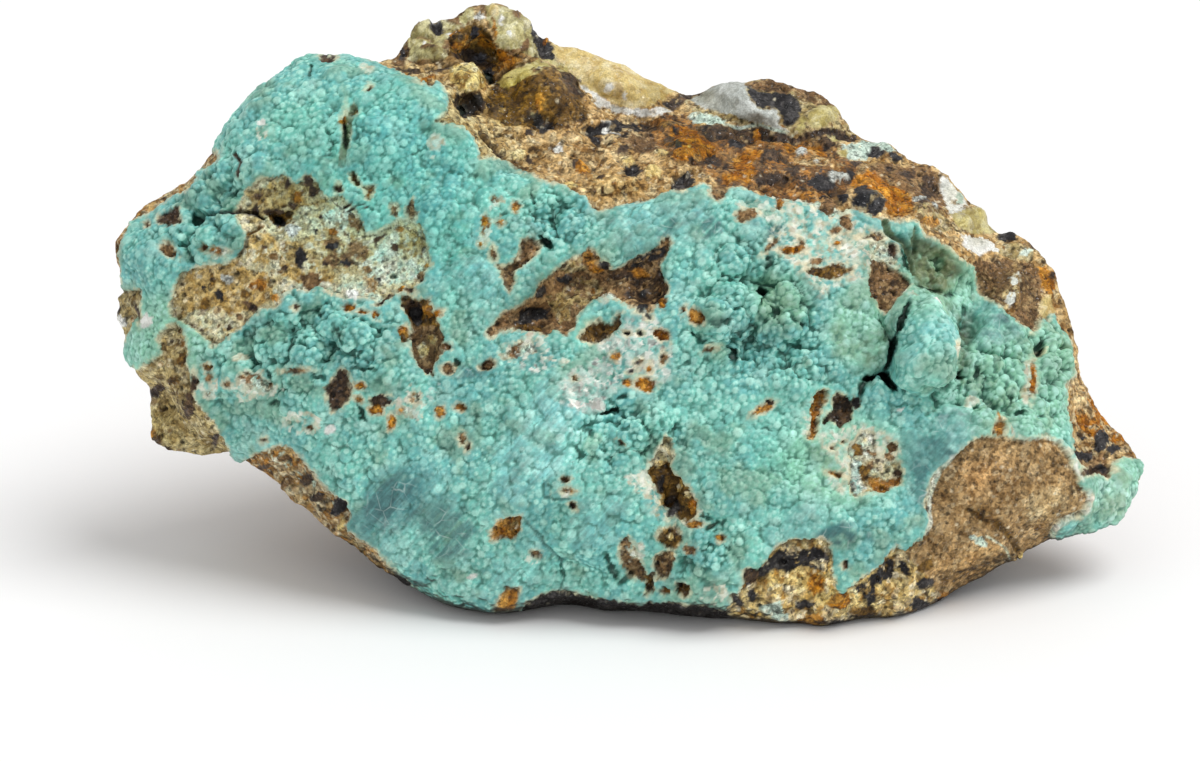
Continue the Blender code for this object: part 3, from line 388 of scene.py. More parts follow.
        (66.0, 45.0)]),
    ("gold", 1.0, [
        (72.8, 60.5), (73.8, 59.5), (74.5, 58.0), (75.5, 57.2), (76.8, 55.8), (78.0, 54.5), (79.5, 54.0),
        (81.2, 54.1), (82.0, 53.6), (82.8, 54.5), (83.3, 56.0), (83.2, 57.5), (83.6, 59.0), (84.2, 59.4),
        (85.0, 58.8), (85.8, 58.0), (87.0, 57.2), (88.0, 56.2), (88.8, 55.3), (89.5, 54.7), (90.5, 55.0),
        (93.0, 58.0), (94.6, 60.2), (92.0, 64.0), (74.0, 64.0)]),
    ("black", 0.72, [
        (74.8, 57.6), (75.8, 56.9), (77.0, 55.9), (78.2, 55.0), (80.0, 55.2), (82.0, 54.8), (82.9, 55.8),
        (82.8, 57.2), (81.6, 57.0), (80.2, 56.6), (78.8, 57.4), (77.2, 57.0), (75.8, 58.2), (74.6, 59.0)]),
    ("black", 0.7, [
        (85.2, 59.0), (86.6, 58.0), (88.0, 56.8), (89.0, 55.9), (90.6, 56.2), (91.0, 57.2), (90.0, 58.2),
        (88.8, 58.0), (87.6, 58.8), (87.6, 60.4), (86.8, 60.8), (86.4, 59.6)]),
    ("rust", 0.8, [(80.6, 58.8), (81.4, 57.5), (82.4, 57.8), (82.6, 59.0), (81.4, 59.5)]),
    ("pale", 1.0, [
        (75.8, 61.0), (77.0, 60.2), (78.0, 60.0), (78.3, 61.0), (79.0, 61.2), (78.8, 62.2), (77.0, 61.6)]),
    # the block at the top
    ("lichen", 1.0, [
        (41.0, 1.4), (43.2, 1.4), (44.6, 1.6), (46.0, 0.8), (47.4, 0.6), (47.4, 1.8), (46.4, 2.4),
        (45.4, 3.2), (44.6, 4.2), (44.6, 5.8), (43.8, 6.1), (41.6, 6.0), (40.6, 6.2), (40.0, 5.4),
        (40.8, 3.6)]),
    ("brown", 0.9, [(39.0, 6.4), (39.8, 4.6), (40.8, 4.0), (41.0, 5.0), (40.8, 6.0), (40.4, 6.6)]),
    ("brown", 0.9, [
        (43.2, 1.2), (44.8, 1.5), (45.8, 0.9), (46.4, 1.2), (45.6, 2.2), (44.8, 2.0), (43.4, 1.8)]),
    ("brown", 0.95, [(46.0, 0.9), (46.6, -0.4), (48.8, -0.2), (49.2, 0.8), (48.6, 1.3), (47.4, 0.9)]),
    ("umber", 1.0, [
        (45.0, 3.2), (46.4, 2.6), (47.2, 2.2), (48.4, 2.4), (49.2, 4.0), (50.0, 4.8), (51.6, 5.4),
        (53.0, 6.0), (51.6, 6.2), (50.4, 6.8), (49.2, 7.8), (48.6, 8.2), (48.2, 7.4), (47.4, 6.4),
        (46.4, 6.0), (44.8, 5.8), (44.6, 4.6)]),
    ("lichen", 1.0, [
        (48.6, 0.5), (50.6, 0.0), (52.0, 1.2), (53.0, 3.0), (53.8, 4.6), (54.2, 6.0), (53.0, 5.6),
        (52.0, 5.2), (50.6, 4.8), (49.6, 4.0), (49.2, 2.8), (48.6, 1.6)]),
    ("rust", 0.45, [
        (44.8, 3.4), (46.2, 2.8), (48.4, 2.6), (50.0, 4.6), (51.4, 5.6), (50.0, 6.4), (48.2, 5.2),
        (46.2, 5.2), (45.0, 5.2)]),
    ("dark", 0.5, [
        (45.4, 5.3), (47.0, 5.1), (48.8, 5.4), (50.0, 6.2), (49.0, 7.4), (48.0, 6.6), (46.4, 6.0),
        (45.2, 5.8)]),
    ("rust", 0.5, [(49.4, 5.6), (51.0, 5.8), (52.2, 6.1), (51.0, 6.7), (49.8, 7.0)]),
    ("black", 1.0, [
        (52.6, 2.0), (54.2, 3.2), (55.2, 4.4), (56.4, 6.2), (55.0, 6.0), (54.0, 5.8), (53.6, 4.8),
        (53.0, 3.4)]),
    ("cream", 1.0, [
        (55.2, 3.8), (57.6, 3.6), (59.2, 4.6), (61.0, 5.4), (62.6, 6.6), (64.4, 7.2), (66.4, 8.0),
        (67.8, 9.0), (66.6, 9.6), (65.6, 10.4), (63.4, 10.8), (61.8, 10.6), (60.4, 9.8), (58.8, 9.0),
        (57.4, 8.2), (56.6, 7.0), (55.6, 6.0)]),
    ("white", 0.9, [
        (57.8, 8.2), (59.6, 9.4), (61.2, 10.5), (62.8, 10.9), (65.2, 10.7), (67.4, 10.8), (66.4, 11.5),
        (64.0, 11.7), (61.6, 11.3), (60.0, 10.4), (58.4, 9.2)]),
    ("umber", 0.95, [
        (49.4, 8.0), (50.6, 7.2), (52.0, 6.8), (53.6, 6.6), (55.0, 6.6), (56.4, 7.4), (57.6, 8.4),
        (58.4, 9.6), (58.0, 10.4), (59.0, 11.2), (58.4, 12.0), (56.8, 12.2), (55.6, 12.8), (53.6, 13.2),
        (50.8, 12.2), (48.8, 11.6), (48.6, 10.2), (49.0, 9.0)]),
    ("dark", 0.8, [(54.4, 7.4), (56.4, 7.4), (57.8, 8.8), (58.2, 9.8), (56.8, 9.8), (55.4, 9.0)]),
    ("lime", 0.8, [
        (49.8, 8.2), (50.6, 7.2), (52.0, 6.6), (53.6, 6.1), (55.0, 5.9), (57.0, 6.6), (58.2, 8.2),
        (57.0, 8.0), (55.6, 7.6), (54.0, 8.0), (52.2, 8.5), (51.0, 8.9)]),
    ("gold", 1.0, [
        (45.2, 6.7), (46.2, 6.2), (47.2, 6.7), (48.2, 7.7), (48.4, 8.7), (47.6, 9.0), (46.6, 9.2),
        (45.6, 9.0), (45.0, 8.2), (44.8, 7.2)]),
    ("dark", 0.72, [
        (45.6, 9.4), (47.0, 9.1), (48.3, 9.0), (48.7, 10.2), (48.0, 11.4), (46.8, 11.7), (45.8, 11.4),
        (45.3, 10.4)]),
    ("black", 1.0, [
        (53.2, 11.3), (54.2, 11.3), (54.6, 12.0), (55.6, 12.0), (55.4, 12.9), (54.2, 13.2), (53.4, 12.8)]),
    ("black", 0.7, [
        (58.2, 12.6), (60.0, 12.0), (61.0, 11.9), (62.6, 12.2), (64.0, 12.4), (65.4, 12.2), (65.6, 13.4),
        (63.6, 13.7), (61.8, 13.9), (59.4, 13.8), (58.4, 13.4)]),
    ("brown", 0.9, [(61.6, 13.8), (65.6, 13.4), (66.2, 14.8), (65.0, 15.6), (63.4, 15.2)]),
    ("black", 1.0, [
        (66.9, 18.5), (67.6, 17.6), (68.6, 17.2), (69.4, 17.7), (69.6, 18.4), (68.6, 18.9), (67.4, 19.0)]),
    ("khaki", 0.8, [
        (68.2, 10.0), (70.0, 9.4), (72.4, 8.2), (76.4, 8.0), (80.4, 9.0), (84.2, 10.6), (86.2, 13.8),
        (84.0, 12.9), (80.0, 13.4), (77.0, 12.8), (72.0, 12.2), (69.0, 10.9)]),
    ("grey", 1.0, [
        (69.0, 10.0), (70.0, 9.4), (71.4, 8.7), (72.4, 8.2), (73.4, 7.6), (74.5, 8.2), (74.7, 9.4),
        (75.2, 10.3), (75.8, 10.9), (76.8, 10.7), (77.5, 10.4), (78.0, 11.0), (78.2, 11.8), (78.0, 12.4),
        (79.0, 13.1), (77.0, 12.7), (75.4, 12.3), (74.0, 11.9), (72.6, 11.3), (71.0, 10.9), (69.6, 10.6)]),
    ("dark", 0.8, [
        (67.8, 9.6), (69.0, 9.0), (71.2, 8.5), (71.4, 8.8), (70.0, 9.3), (68.8, 10.0), (67.4, 10.8),
        (66.2, 10.2)]),
    ("brown", 0.9, [
        (74.4, 8.4), (76.4, 8.0), (78.4, 7.8), (80.4, 8.8), (82.4, 9.8), (84.4, 10.6), (84.2, 11.4),
        (83.2, 10.9), (81.6, 10.6), (80.4, 10.1), (79.4, 9.4), (77.0, 9.1), (75.0, 8.9)]),
    ("black", 1.0, [
        (74.7, 8.9), (75.6, 9.0), (77.0, 9.2), (78.6, 9.2), (79.6, 9.8), (80.1, 10.8), (79.9, 12.0),
        (79.2, 12.5), (78.4, 12.2), (78.3, 11.4), (77.8, 10.6), (77.2, 10.3), (76.2, 10.7), (75.5, 10.6),
        (75.1, 9.8)]),
    ("lime", 1.0, [
        (80.5, 12.6), (81.0, 11.2), (82.2, 10.6), (83.5, 11.2), (83.4, 12.2), (82.6, 12.8), (81.4, 12.8)]),
    ("lime", 0.8, [(79.4, 13.2), (79.9, 12.2), (80.1, 11.4), (80.7, 11.9), (80.2, 13.2)]),
    ("pale", 1.0, [
        (68.8, 11.2), (70.0, 11.2), (71.6, 11.6), (72.5, 12.2), (72.2, 12.6), (70.8, 12.6), (69.6, 12.2),
        (68.8, 11.9)]),
    ("rusty", 1.0, [
        (65.0, 12.0), (66.4, 11.4), (68.6, 11.2), (69.6, 12.4), (71.4, 13.8), (79.0, 14.2), (82.0, 13.9),
        (83.8, 15.4), (85.2, 16.2), (86.0, 16.8), (85.0, 18.4), (84.0, 20.0), (83.4, 21.6), (81.4, 20.8),
        (79.6, 20.2), (77.6, 19.8), (76.0, 19.0), (74.0, 18.6), (72.2, 18.8), (70.6, 17.2), (69.4, 16.7),
        (67.4, 16.2), (66.2, 15.4), (65.2, 13.8)]),
    ("dark", 0.9, [
        (69.8, 12.6), (71.6, 12.6), (74.0, 12.7), (76.0, 12.7), (78.0, 13.2), (79.8, 13.6), (82.0, 12.9),
        (84.0, 12.9), (85.4, 13.5), (86.2, 14.1), (84.6, 14.1), (82.6, 13.7), (80.6, 13.9), (78.8, 14.2),
        (76.2, 14.2), (73.6, 14.1), (71.4, 13.9), (70.2, 13.2)]),
    ("rust", 1.0, [
        (66.9, 12.9), (68.4, 12.5), (69.8, 13.2), (70.8, 13.8), (71.5, 14.8), (71.7, 15.5), (70.6, 15.9),
        (69.6, 15.7), (68.6, 16.2), (67.4, 16.1), (67.3, 15.3), (68.1, 14.6), (67.2, 14.1)]),
    ("rust", 0.9, [
        (73.2, 15.8), (74.2, 15.4), (75.0, 14.6), (76.2, 15.4), (75.4, 16.2), (75.4, 17.4), (74.8, 18.4),
        (73.4, 18.2), (72.6, 18.6), (72.2, 17.4), (73.6, 17.0)]),
    ("rust", 0.75, [
        (78.2, 14.4), (80.0, 14.3), (82.0, 14.5), (82.6, 15.6), (81.4, 16.0), (80.2, 14.9), (78.6, 15.4)]),
    ("slope", 0.8, [
        (79.4, 15.0), (81.0, 15.2), (82.8, 15.8), (84.6, 16.4), (83.0, 16.9), (81.0, 16.8), (79.6, 16.2)]),
    ("pale", 1.0, [
        (83.9, 14.6), (86.4, 14.3), (88.4, 14.1), (89.6, 15.3), (88.6, 15.4), (87.6, 15.1), (86.8, 15.8),
        (85.0, 15.8), (84.2, 15.4)]),
    ("lime", 0.7, [(82.4, 13.5), (83.6, 13.6), (84.4, 14.6), (84.6, 15.6), (83.8, 15.4), (83.2, 14.4)]),
    ("brown", 0.9, [
        (85.0, 16.4), (87.0, 16.5), (88.6, 16.2), (90.2, 16.6), (92.6, 16.7), (93.8, 17.8), (94.6, 20.4),
        (94.2, 21.4), (92.0, 21.6), (91.0, 20.4), (89.4, 18.8), (87.6, 17.6)]),
    ("slope", 0.8, [(86.0, 16.3), (87.6, 16.0), (88.0, 16.4), (87.2, 16.7), (86.2, 16.7)]),
    ("rust", 1.0, [
        (84.8, 18.8), (85.6, 17.4), (86.6, 17.0), (87.6, 17.5), (88.8, 18.4), (90.4, 19.2), (91.2, 20.2),
        (91.4, 21.4), (90.4, 21.8), (88.8, 21.8), (88.4, 20.6), (87.2, 19.2), (85.8, 19.4)]),
    ("khaki", 0.8, [
        (91.0, 21.4), (92.4, 20.8), (94.0, 21.2), (95.4, 22.4), (96.4, 23.2), (94.0, 22.8), (92.0, 22.4)]),
    ("white", 0.85, [
        (93.8, 17.4), (95.2, 18.4), (96.3, 19.6), (96.8, 20.6), (96.2, 21.4), (95.4, 21.7), (94.6, 20.6),
        (94.1, 19.2)]),
    ("lime", 1.0, [
        (95.2, 21.4), (96.2, 21.3), (97.6, 20.6), (99.0, 21.4), (99.9, 23.0), (98.4, 23.4), (96.8, 23.2),
        (95.6, 22.4)]),
    ("white", 0.95, [
        (96.2, 23.5), (97.6, 23.6), (99.1, 24.2), (100.2, 25.0), (99.0, 25.1), (98.0, 25.3), (96.8, 24.8)]),
    ("khaki", 0.9, [
        (99.8, 25.0), (100.4, 24.2), (102.0, 24.4), (103.4, 25.2), (103.6, 25.9), (101.4, 25.6)]),
    ("brown", 1.0, [
        (97.4, 26.2), (98.8, 25.8), (100.4, 25.7), (101.5, 25.9), (101.5, 27.0), (101.0, 27.9),
        (100.9, 28.8), (100.3, 29.5), (100.2, 30.8), (99.3, 30.2), (98.3, 29.4), (97.7, 28.4),
        (98.1, 27.6), (97.5, 27.0)]),
    ("brown", 1.0, [
        (101.8, 26.0), (103.2, 25.8), (104.0, 27.4), (104.2, 29.0), (104.0, 30.2), (104.0, 31.6),
        (103.2, 33.2), (102.2, 32.6), (101.4, 31.6), (102.0, 30.0), (101.8, 28.8), (101.8, 27.6)]),
    ("white", 0.8, [
        (101.1, 27.7), (101.7, 27.3), (101.8, 28.8), (101.6, 30.0), (101.0, 30.6), (100.5, 30.0),
        (101.0, 28.9)]),
    ("rust", 1.0, [
        (103.8, 26.6), (104.6, 26.6), (105.2, 27.6), (105.5, 28.8), (105.1, 29.7), (104.5, 29.4),
        (104.1, 28.2)]),
    ("cream", 0.8, [(104.1, 29.8), (105.0, 29.6), (105.4, 31.2), (104.6, 31.8), (104.1, 31.4)]),
    ("mixed", 0.7, [
        (107.0, 38.0), (109.4, 39.0), (112.8, 42.6), (114.0, 45.4), (110.0, 45.0), (107.4, 42.0)]),
    ("rust", 0.55, [
        (107.2, 38.4), (109.2, 39.2), (111.8, 42.0), (112.6, 44.0), (110.0, 44.4), (107.6, 42.0)]),
    ("brown", 0.8, [
        (107.4, 45.4), (109.2, 45.6), (110.8, 45.4), (110.8, 47.6), (109.4, 47.6), (108.0, 46.6)]),
    # tints on the crust
    ("chalk", 1.1, [
        (81.9, 43.6), (83.6, 43.3), (84.6, 42.4), (86.2, 42.2), (87.6, 42.6), (89.8, 43.6), (90.4, 45.2),
        (88.8, 46.4), (87.0, 46.0), (85.6, 45.4), (85.0, 47.8), (84.4, 49.8), (82.6, 48.4), (83.4, 45.9),
        (82.2, 45.0)]),
    ("chalk", 0.8, [(80.2, 40.6), (80.9, 39.6), (81.2, 41.6), (80.8, 44.2), (80.2, 43.8), (80.0, 42.0)]),
    ("olive", 1.0, [
        (90.4, 24.6), (91.2, 23.4), (92.6, 23.6), (93.6, 24.2), (95.0, 25.2), (95.8, 26.4), (96.4, 27.4),
        (95.8, 28.4), (94.8, 29.2), (94.2, 29.6), (93.2, 29.5), (92.2, 29.0), (91.0, 28.6), (91.0, 27.2),
        (90.6, 26.0)]),
    ("olive", 0.9, [
        (94.4, 29.6), (95.2, 30.6), (96.0, 31.6), (97.2, 31.6), (97.6, 33.0), (96.8, 34.4), (96.2, 35.6),
        (96.6, 36.6), (96.0, 38.0), (95.3, 37.6), (95.8, 36.0), (95.6, 33.8), (95.0, 32.0), (94.2, 30.6)]),
    ("olive", 0.6, [(86.0, 34.0), (88.0, 32.0), (89.6, 32.6), (89.2, 35.0), (88.0, 37.0), (86.0, 36.8)]),
    ("teal", 0.8, [
        (97.4, 30.4), (99.0, 30.4), (100.6, 31.4), (102.0, 33.0), (102.4, 34.4), (100.6, 34.2),
        (99.2, 35.0), (97.4, 35.2), (97.0, 33.6), (97.6, 32.2)]),
    ("teal", 0.7, [
        (34.8, 51.4), (37.0, 49.4), (38.6, 46.8), (41.2, 46.4), (43.4, 47.4), (42.2, 49.8), (40.0, 50.6),
        (38.6, 52.8), (36.6, 54.0), (35.2, 53.0)]),
    ("teal", 0.6, [
        (42.0, 52.0), (43.4, 49.8), (46.0, 49.2), (47.2, 51.2), (46.4, 54.6), (44.6, 56.6), (43.0, 55.0)]),
    ("teal", 1.0, [
        (90.2, 43.4), (92.0, 42.4), (94.4, 42.2), (97.2, 42.4), (97.6, 43.2), (95.6, 44.8), (94.0, 46.4),
        (92.8, 48.4), (92.2, 50.2), (90.8, 49.6), (90.4, 46.4)]),
    ("teal", 0.35, [
        (61.6, 23.8), (64.0, 22.2), (67.4, 21.4), (71.0, 21.6), (70.0, 24.4), (67.8, 23.6), (65.4, 24.6),
        (62.8, 25.8)]),
    ("chalk", 0.95, [
        (73.5, 20.5), (76.0, 19.8), (79.0, 19.7), (82.0, 20.5), (85.0, 21.5), (88.0, 23.5), (89.5, 24.0),
        (90.5, 26.2), (90.0, 27.0), (88.0, 26.2), (87.0, 26.2), (86.6, 28.0), (85.0, 28.5), (83.5, 29.0),
        (82.0, 30.0), (81.0, 29.0), (80.0, 27.5), (79.0, 26.2), (77.5, 25.5), (76.5, 24.5), (77.5, 22.5),
        (74.5, 21.6)]),
    ("powder", 1.0, [
        (59.5, 34.3), (61.5, 33.6), (62.4, 32.2), (64.2, 31.2), (65.6, 31.6), (66.6, 33.2), (67.4, 35.6),
        (66.8, 38.2), (65.8, 38.8), (64.6, 37.4), (62.6, 37.6), (61.4, 39.2), (60.2, 41.4), (58.0, 41.4),
        (56.2, 40.4), (55.8, 38.4), (57.2, 37.0), (59.0, 36.2), (60.2, 35.4)]),
    ("powder", 0.86, [
        (52.6, 34.4), (54.4, 34.2), (56.0, 34.8), (55.8, 36.4), (53.8, 37.4), (52.0, 36.8), (51.6, 35.6)]),
]

# Spots by kind: across, down, half width, half height and turn in degrees, all on the sheet.
SPOTS = [
    ("brown", [
        (51.5, 1.5, 0.5, 0.45, 0), (50.3, 0.5, 0.8, 0.25, 0), (52.5, 4.6, 0.4, 0.7, -20),
        (51.6, 5.3, 1.0, 0.3, 10), (44.5, 4.8, 0.35, 0.8, 0), (43.0, 5.0, 0.8, 0.25, 0),
        (42.0, 2.4, 0.3, 0.3, 0), (45.6, 2.2, 0.6, 0.25, -20), (17.1, 25.2, 0.8, 0.5, -40),
        (14.8, 22.6, 0.3, 0.3, 0), (35.5, 24.8, 0.5, 0.5, 0), (36.3, 25.2, 0.55, 0.5, 0),
        (33.9, 18.9, 0.3, 0.4, 0), (42.1, 27.6, 0.35, 0.5, 0), (44.7, 34.8, 0.45, 0.35, 0),
        (44.9, 36.9, 0.55, 0.5, 0), (48.7, 36.5, 0.6, 0.45, 20), (46.3, 43.7, 0.3, 0.45, 0),
        (25.2, 37.9, 1.0, 0.6, -20), (26.8, 38.6, 0.5, 0.4, 0), (21.0, 37.5, 0.35, 0.4, 0),
        (21.0, 39.3, 0.3, 0.3, 0), (23.0, 38.2, 0.35, 0.3, 0), (29.8, 37.0, 0.8, 0.2, 0),
        (31.0, 42.6, 0.3, 0.25, 0), (36.6, 27.1, 0.4, 0.35, 0), (49.5, 20.0, 0.3, 0.3, 0),
        (49.2, 25.4, 0.25, 0.5, 0), (68.6, 31.1, 0.4, 0.25, 50), (70.9, 34.9, 0.5, 0.25, 20),
        (66.3, 35.8, 0.3, 0.5, 0), (63.8, 36.1, 0.4, 0.3, 0), (62.1, 44.3, 0.3, 0.3, 0),
        (53.6, 55.2, 0.5, 0.3, -30), (69.0, 55.0, 0.5, 0.4, 0), (57.4, 37.8, 0.25, 0.25, 0),
        (74.8, 21.6, 1.0, 0.6, 0), (82.9, 20.7, 0.9, 0.6, 0), (77.1, 24.7, 0.9, 0.3, 45),
        (80.1, 24.5, 0.25, 0.6, 20), (83.4, 23.2, 0.6, 0.35, 20), (84.6, 22.4, 0.5, 0.8, 30),
        (87.2, 23.8, 1.0, 0.25, 0), (81.6, 26.2, 0.8, 0.2, 10), (89.2, 44.7, 0.5, 0.5, 30),
        (88.9, 45.7, 0.6, 0.34, -10), (83.2, 44.9, 0.3, 0.22, 0), (84.3, 44.2, 0.25, 0.2, 0),
        (94.6, 35.2, 0.2, 0.45, 0), (66.8, 24.2, 0.5, 0.4, 0), (86.9, 45.3, 0.5, 0.28, 0),
        (86.9, 46.5, 0.35, 0.5, 0), (28.6, 45.9, 0.6, 0.4, 0), (28.8, 48.4, 0.7, 0.3, 35),
        (71.8, 19.2, 0.6, 0.7, 0)]),
    ("amber", [
        (29.9, 19.6, 0.45, 0.6, 0), (33.3, 23.3, 0.5, 0.4, 0), (21.7, 25.1, 0.8, 0.32, 0),
        (20.5, 24.8, 0.3, 0.3, 0), (42.7, 26.6, 0.35, 0.35, 0), (42.9, 31.0, 0.45, 0.6, 0),
        (36.0, 40.0, 0.4, 0.3, 0), (41.3, 39.8, 0.5, 0.5, 0), (43.9, 41.1, 0.4, 0.5, 0),
        (46.0, 40.6, 0.6, 0.3, 0), (51.5, 20.7, 0.4, 0.45, 0), (49.9, 22.5, 0.4, 0.3, 0),
        (48.1, 24.6, 0.4, 0.35, 0), (69.6, 31.7, 0.6, 0.7, 0), (61.6, 35.7, 0.4, 0.4, 0),
        (76.2, 40.9, 1.0, 0.28, 30), (56.9, 49.1, 0.6, 0.25, 0), (66.6, 59.1, 0.3, 0.25, 0),
        (69.4, 52.4, 0.9, 0.3, -10), (64.0, 27.2, 0.9, 0.35, -10), (78.0, 20.2, 0.35, 0.5, 0),
        (83.5, 47.5, 0.6, 0.22, -20), (27.5, 29.8, 0.4, 0.35, 0), (15.1, 43.8, 0.35, 1.0, 0),
        (81.0, 62.0, 1.4, 0.6, 0), (84.0, 60.0, 1.2, 0.7, 0), (54.0, 10.5, 0.4, 0.6, 0),
        (80.9, 19.6, 0.8, 0.35, 0), (93.0, 22.2, 0.9, 0.35, 0), (99.9, 42.9, 0.4, 0.7, -20)]),
    ("umber", [
        (20.5, 30.5, 0.35, 0.9, -25), (21.2, 28.0, 0.25, 0.9, 0), (24.3, 29.3, 0.6, 0.5, 0),
        (20.9, 36.6, 0.35, 0.35, 0), (56.5, 48.0, 0.35, 0.4, 0), (68.3, 58.9, 0.7, 0.5, 0),
        (82.8, 27.2, 1.9, 0.7, 0), (85.7, 45.0, 0.42, 0.75, 10), (86.4, 47.2, 0.45, 0.8, 0),
        (15.8, 44.0, 0.7, 0.4, 0), (18.2, 36.0, 0.5, 0.6, 0), (17.4, 38.0, 0.5, 0.3, 0),
        (86.4, 61.2, 1.6, 0.5, 0), (35.3, 11.2, 0.35, 0.5, -20), (36.9, 8.9, 0.3, 0.25, 30),
        (92.6, 56.6, 0.8, 0.5, 40), (67.0, 12.6, 1.0, 0.4, 0), (40.4, 33.6, 0.4, 0.7, 0)]),
    ("dark", [
        (25.6, 21.0, 0.35, 0.7, 0), (30.9, 18.1, 0.6, 0.7, 0), (31.3, 19.2, 0.5, 0.5, 0),
        (33.8, 18.9, 0.25, 0.35, 0), (28.8, 18.5, 0.4, 0.5, 0), (25.8, 19.5, 0.5, 0.35, 0),
        (27.6, 21.2, 1.2, 0.35, 0), (38.0, 23.7, 0.7, 0.25, 30), (29.4, 20.6, 0.4, 0.35, 0),
        (32.6, 26.4, 0.3, 0.25, 0), (23.0, 32.7, 0.35, 0.22, 0), (20.2, 33.0, 0.3, 0.22, 0),
        (26.4, 24.6, 0.25, 0.2, 0), (28.4, 26.8, 0.3, 0.22, 0), (32.2, 21.6, 0.22, 0.2, 0),
        (29.6, 30.8, 0.3, 0.3, 0), (24.9, 30.5, 0.8, 0.35, -40), (39.5, 24.7, 0.3, 0.5, 20),
        (41.2, 29.0, 0.5, 0.25, 0), (38.5, 30.1, 0.9, 0.2, 35), (41.4, 30.5, 0.9, 0.7, 0),
        (42.6, 37.0, 0.4, 0.4, 0), (38.2, 39.9, 1.0, 0.7, 0), (26.6, 43.8, 0.25, 0.2, 0),
        (26.6, 46.6, 0.8, 0.4, 30), (30.5, 48.0, 0.5, 0.8, -40), (31.7, 49.7, 0.7, 0.4, 30),
        (19.0, 40.6, 0.6, 1.2, 0), (19.4, 38.3, 0.35, 1.0, -10), (16.6, 45.2, 0.5, 0.5, 0),
        (15.6, 39.2, 0.5, 0.6, 0), (21.6, 44.0, 0.7, 0.35, 40), (12.0, 31.0, 0.3, 0.4, 0),
        (13.8, 31.0, 0.25, 0.9, 15), (76.9, 40.2, 0.35, 0.2, 0), (89.6, 47.2, 0.5, 0.35, -20),
        (52.8, 13.4, 0.5, 0.3, 0), (62.2, 14.9, 0.6, 0.35, 20), (41.0, 6.9, 1.8, 0.25, -5),
        (44.0, 7.1, 1.0, 0.25, 10), (77.0, 15.6, 1.0, 0.6, 0), (77.2, 17.9, 1.8, 0.5, 0),
        (71.2, 16.0, 0.9, 0.5, -20), (79.4, 17.0, 1.1, 0.5, 10), (92.8, 18.6, 0.8, 1.1, 0),
        (90.6, 17.5, 0.9, 0.4, -20), (82.5, 14.4, 1.0, 0.5, -35), (66.9, 13.9, 0.5, 0.35, 0),
        (64.8, 12.8, 0.7, 0.45, 0), (88.8, 17.0, 0.5, 0.3, 0), (104.9, 27.7, 0.3, 0.35, 0),
        (103.4, 24.2, 0.5, 0.5, 0), (85.6, 16.3, 0.6, 0.3, 0), (72.6, 16.6, 0.4, 0.5, 0),
        (92.0, 20.4, 0.7, 0.4, 0), (57.2, 8.0, 1.0, 0.5, -30), (75.2, 57.6, 0.9, 0.6, -30),
        (84.6, 56.6, 0.3, 0.3, 0), (109.0, 47.2, 1.0, 0.4, 20), (89.2, 25.1, 0.35, 0.5, -10),
        (34.6, 13.2, 0.28, 1.4, 0), (32.7, 5.9, 0.7, 0.35, 0), (60.0, 17.8, 0.5, 0.35, 0),
        (57.6, 16.6, 0.6, 0.4, 0), (53.0, 15.8, 0.4, 0.4, 0), (46.8, 44.6, 0.2, 0.3, 0),
        (57.4, 50.6, 0.25, 0.3, 0)]),
    ("black", [
        (27.9, 22.2, 0.6, 0.45, 0), (30.1, 25.6, 0.55, 1.1, 0), (33.2, 24.7, 0.75, 0.45, 10),
        (34.7, 26.2, 0.65, 0.35, -10), (21.9, 29.5, 0.4, 0.5, 0), (20.4, 28.7, 0.25, 0.25, 0),
        (31.5, 23.2, 0.25, 0.2, 0), (38.1, 28.0, 0.3, 0.35, 0), (41.7, 31.7, 0.5, 0.9, 0),
        (33.8, 50.8, 0.7, 0.9, -20), (67.4, 51.0, 0.4, 0.9, -30), (66.2, 48.4, 0.4, 0.8, -20),
        (54.2, 29.4, 0.6, 0.45, 20), (64.4, 28.9, 0.5, 0.4, 0), (56.6, 28.0, 0.7, 0.3, 10),
        (64.2, 31.0, 0.7, 0.35, 20), (85.5, 40.3, 0.45, 0.6, 10), (109.9, 44.4, 0.65, 1.1, -15),
        (111.2, 45.0, 0.65, 0.4, 20), (108.2, 45.6, 0.8, 0.5, -20), (110.4, 47.0, 0.6, 0.25, 0),
        (108.2, 43.8, 0.3, 0.22, 0), (64.9, 31.8, 0.3, 0.28, 0), (64.0, 33.4, 0.25, 0.22, 0),
        (62.6, 33.5, 0.22, 0.18, 0), (63.8, 36.2, 0.28, 0.24, 0), (63.2, 37.3, 0.4, 0.16, 25),
        (60.6, 26.6, 0.5, 0.45, -40), (80.6, 60.5, 0.9, 0.35, 0), (92.5, 58.3, 0.8, 0.4, 15),
        (84.0, 62.2, 0.8, 0.4, 0), (75.2, 59.6, 0.4, 0.6, 0), (92.0, 60.6, 1.0, 0.7, -30),
        (48.2, 5.9, 0.7, 0.35, 20), (73.8, 60.0, 0.7, 0.35, -40), (46.4, 11.0, 0.6, 0.6, 0),
        (47.8, 9.9, 0.6, 0.5, 0), (63.3, 16.9, 0.95, 0.85, 0), (47.4, 3.0, 0.5, 0.6, 0),
        (48.8, 7.5, 0.7, 0.4, -20), (43.7, 2.7, 0.6, 0.7, 0), (67.6, 13.2, 0.4, 0.25, 0),
        (67.7, 14.9, 0.4, 0.4, 0), (73.7, 14.6, 1.1, 0.45, -15), (82.2, 18.2, 1.4, 0.75, 0),
        (84.2, 20.0, 0.55, 0.75, 0), (86.2, 19.8, 0.95, 0.8, 20), (87.6, 20.9, 0.85, 0.65, 20),
        (87.6, 15.5, 0.9, 0.35, 0), (89.4, 15.8, 0.8, 0.3, -25), (85.0, 17.6, 0.5, 0.4, 0),
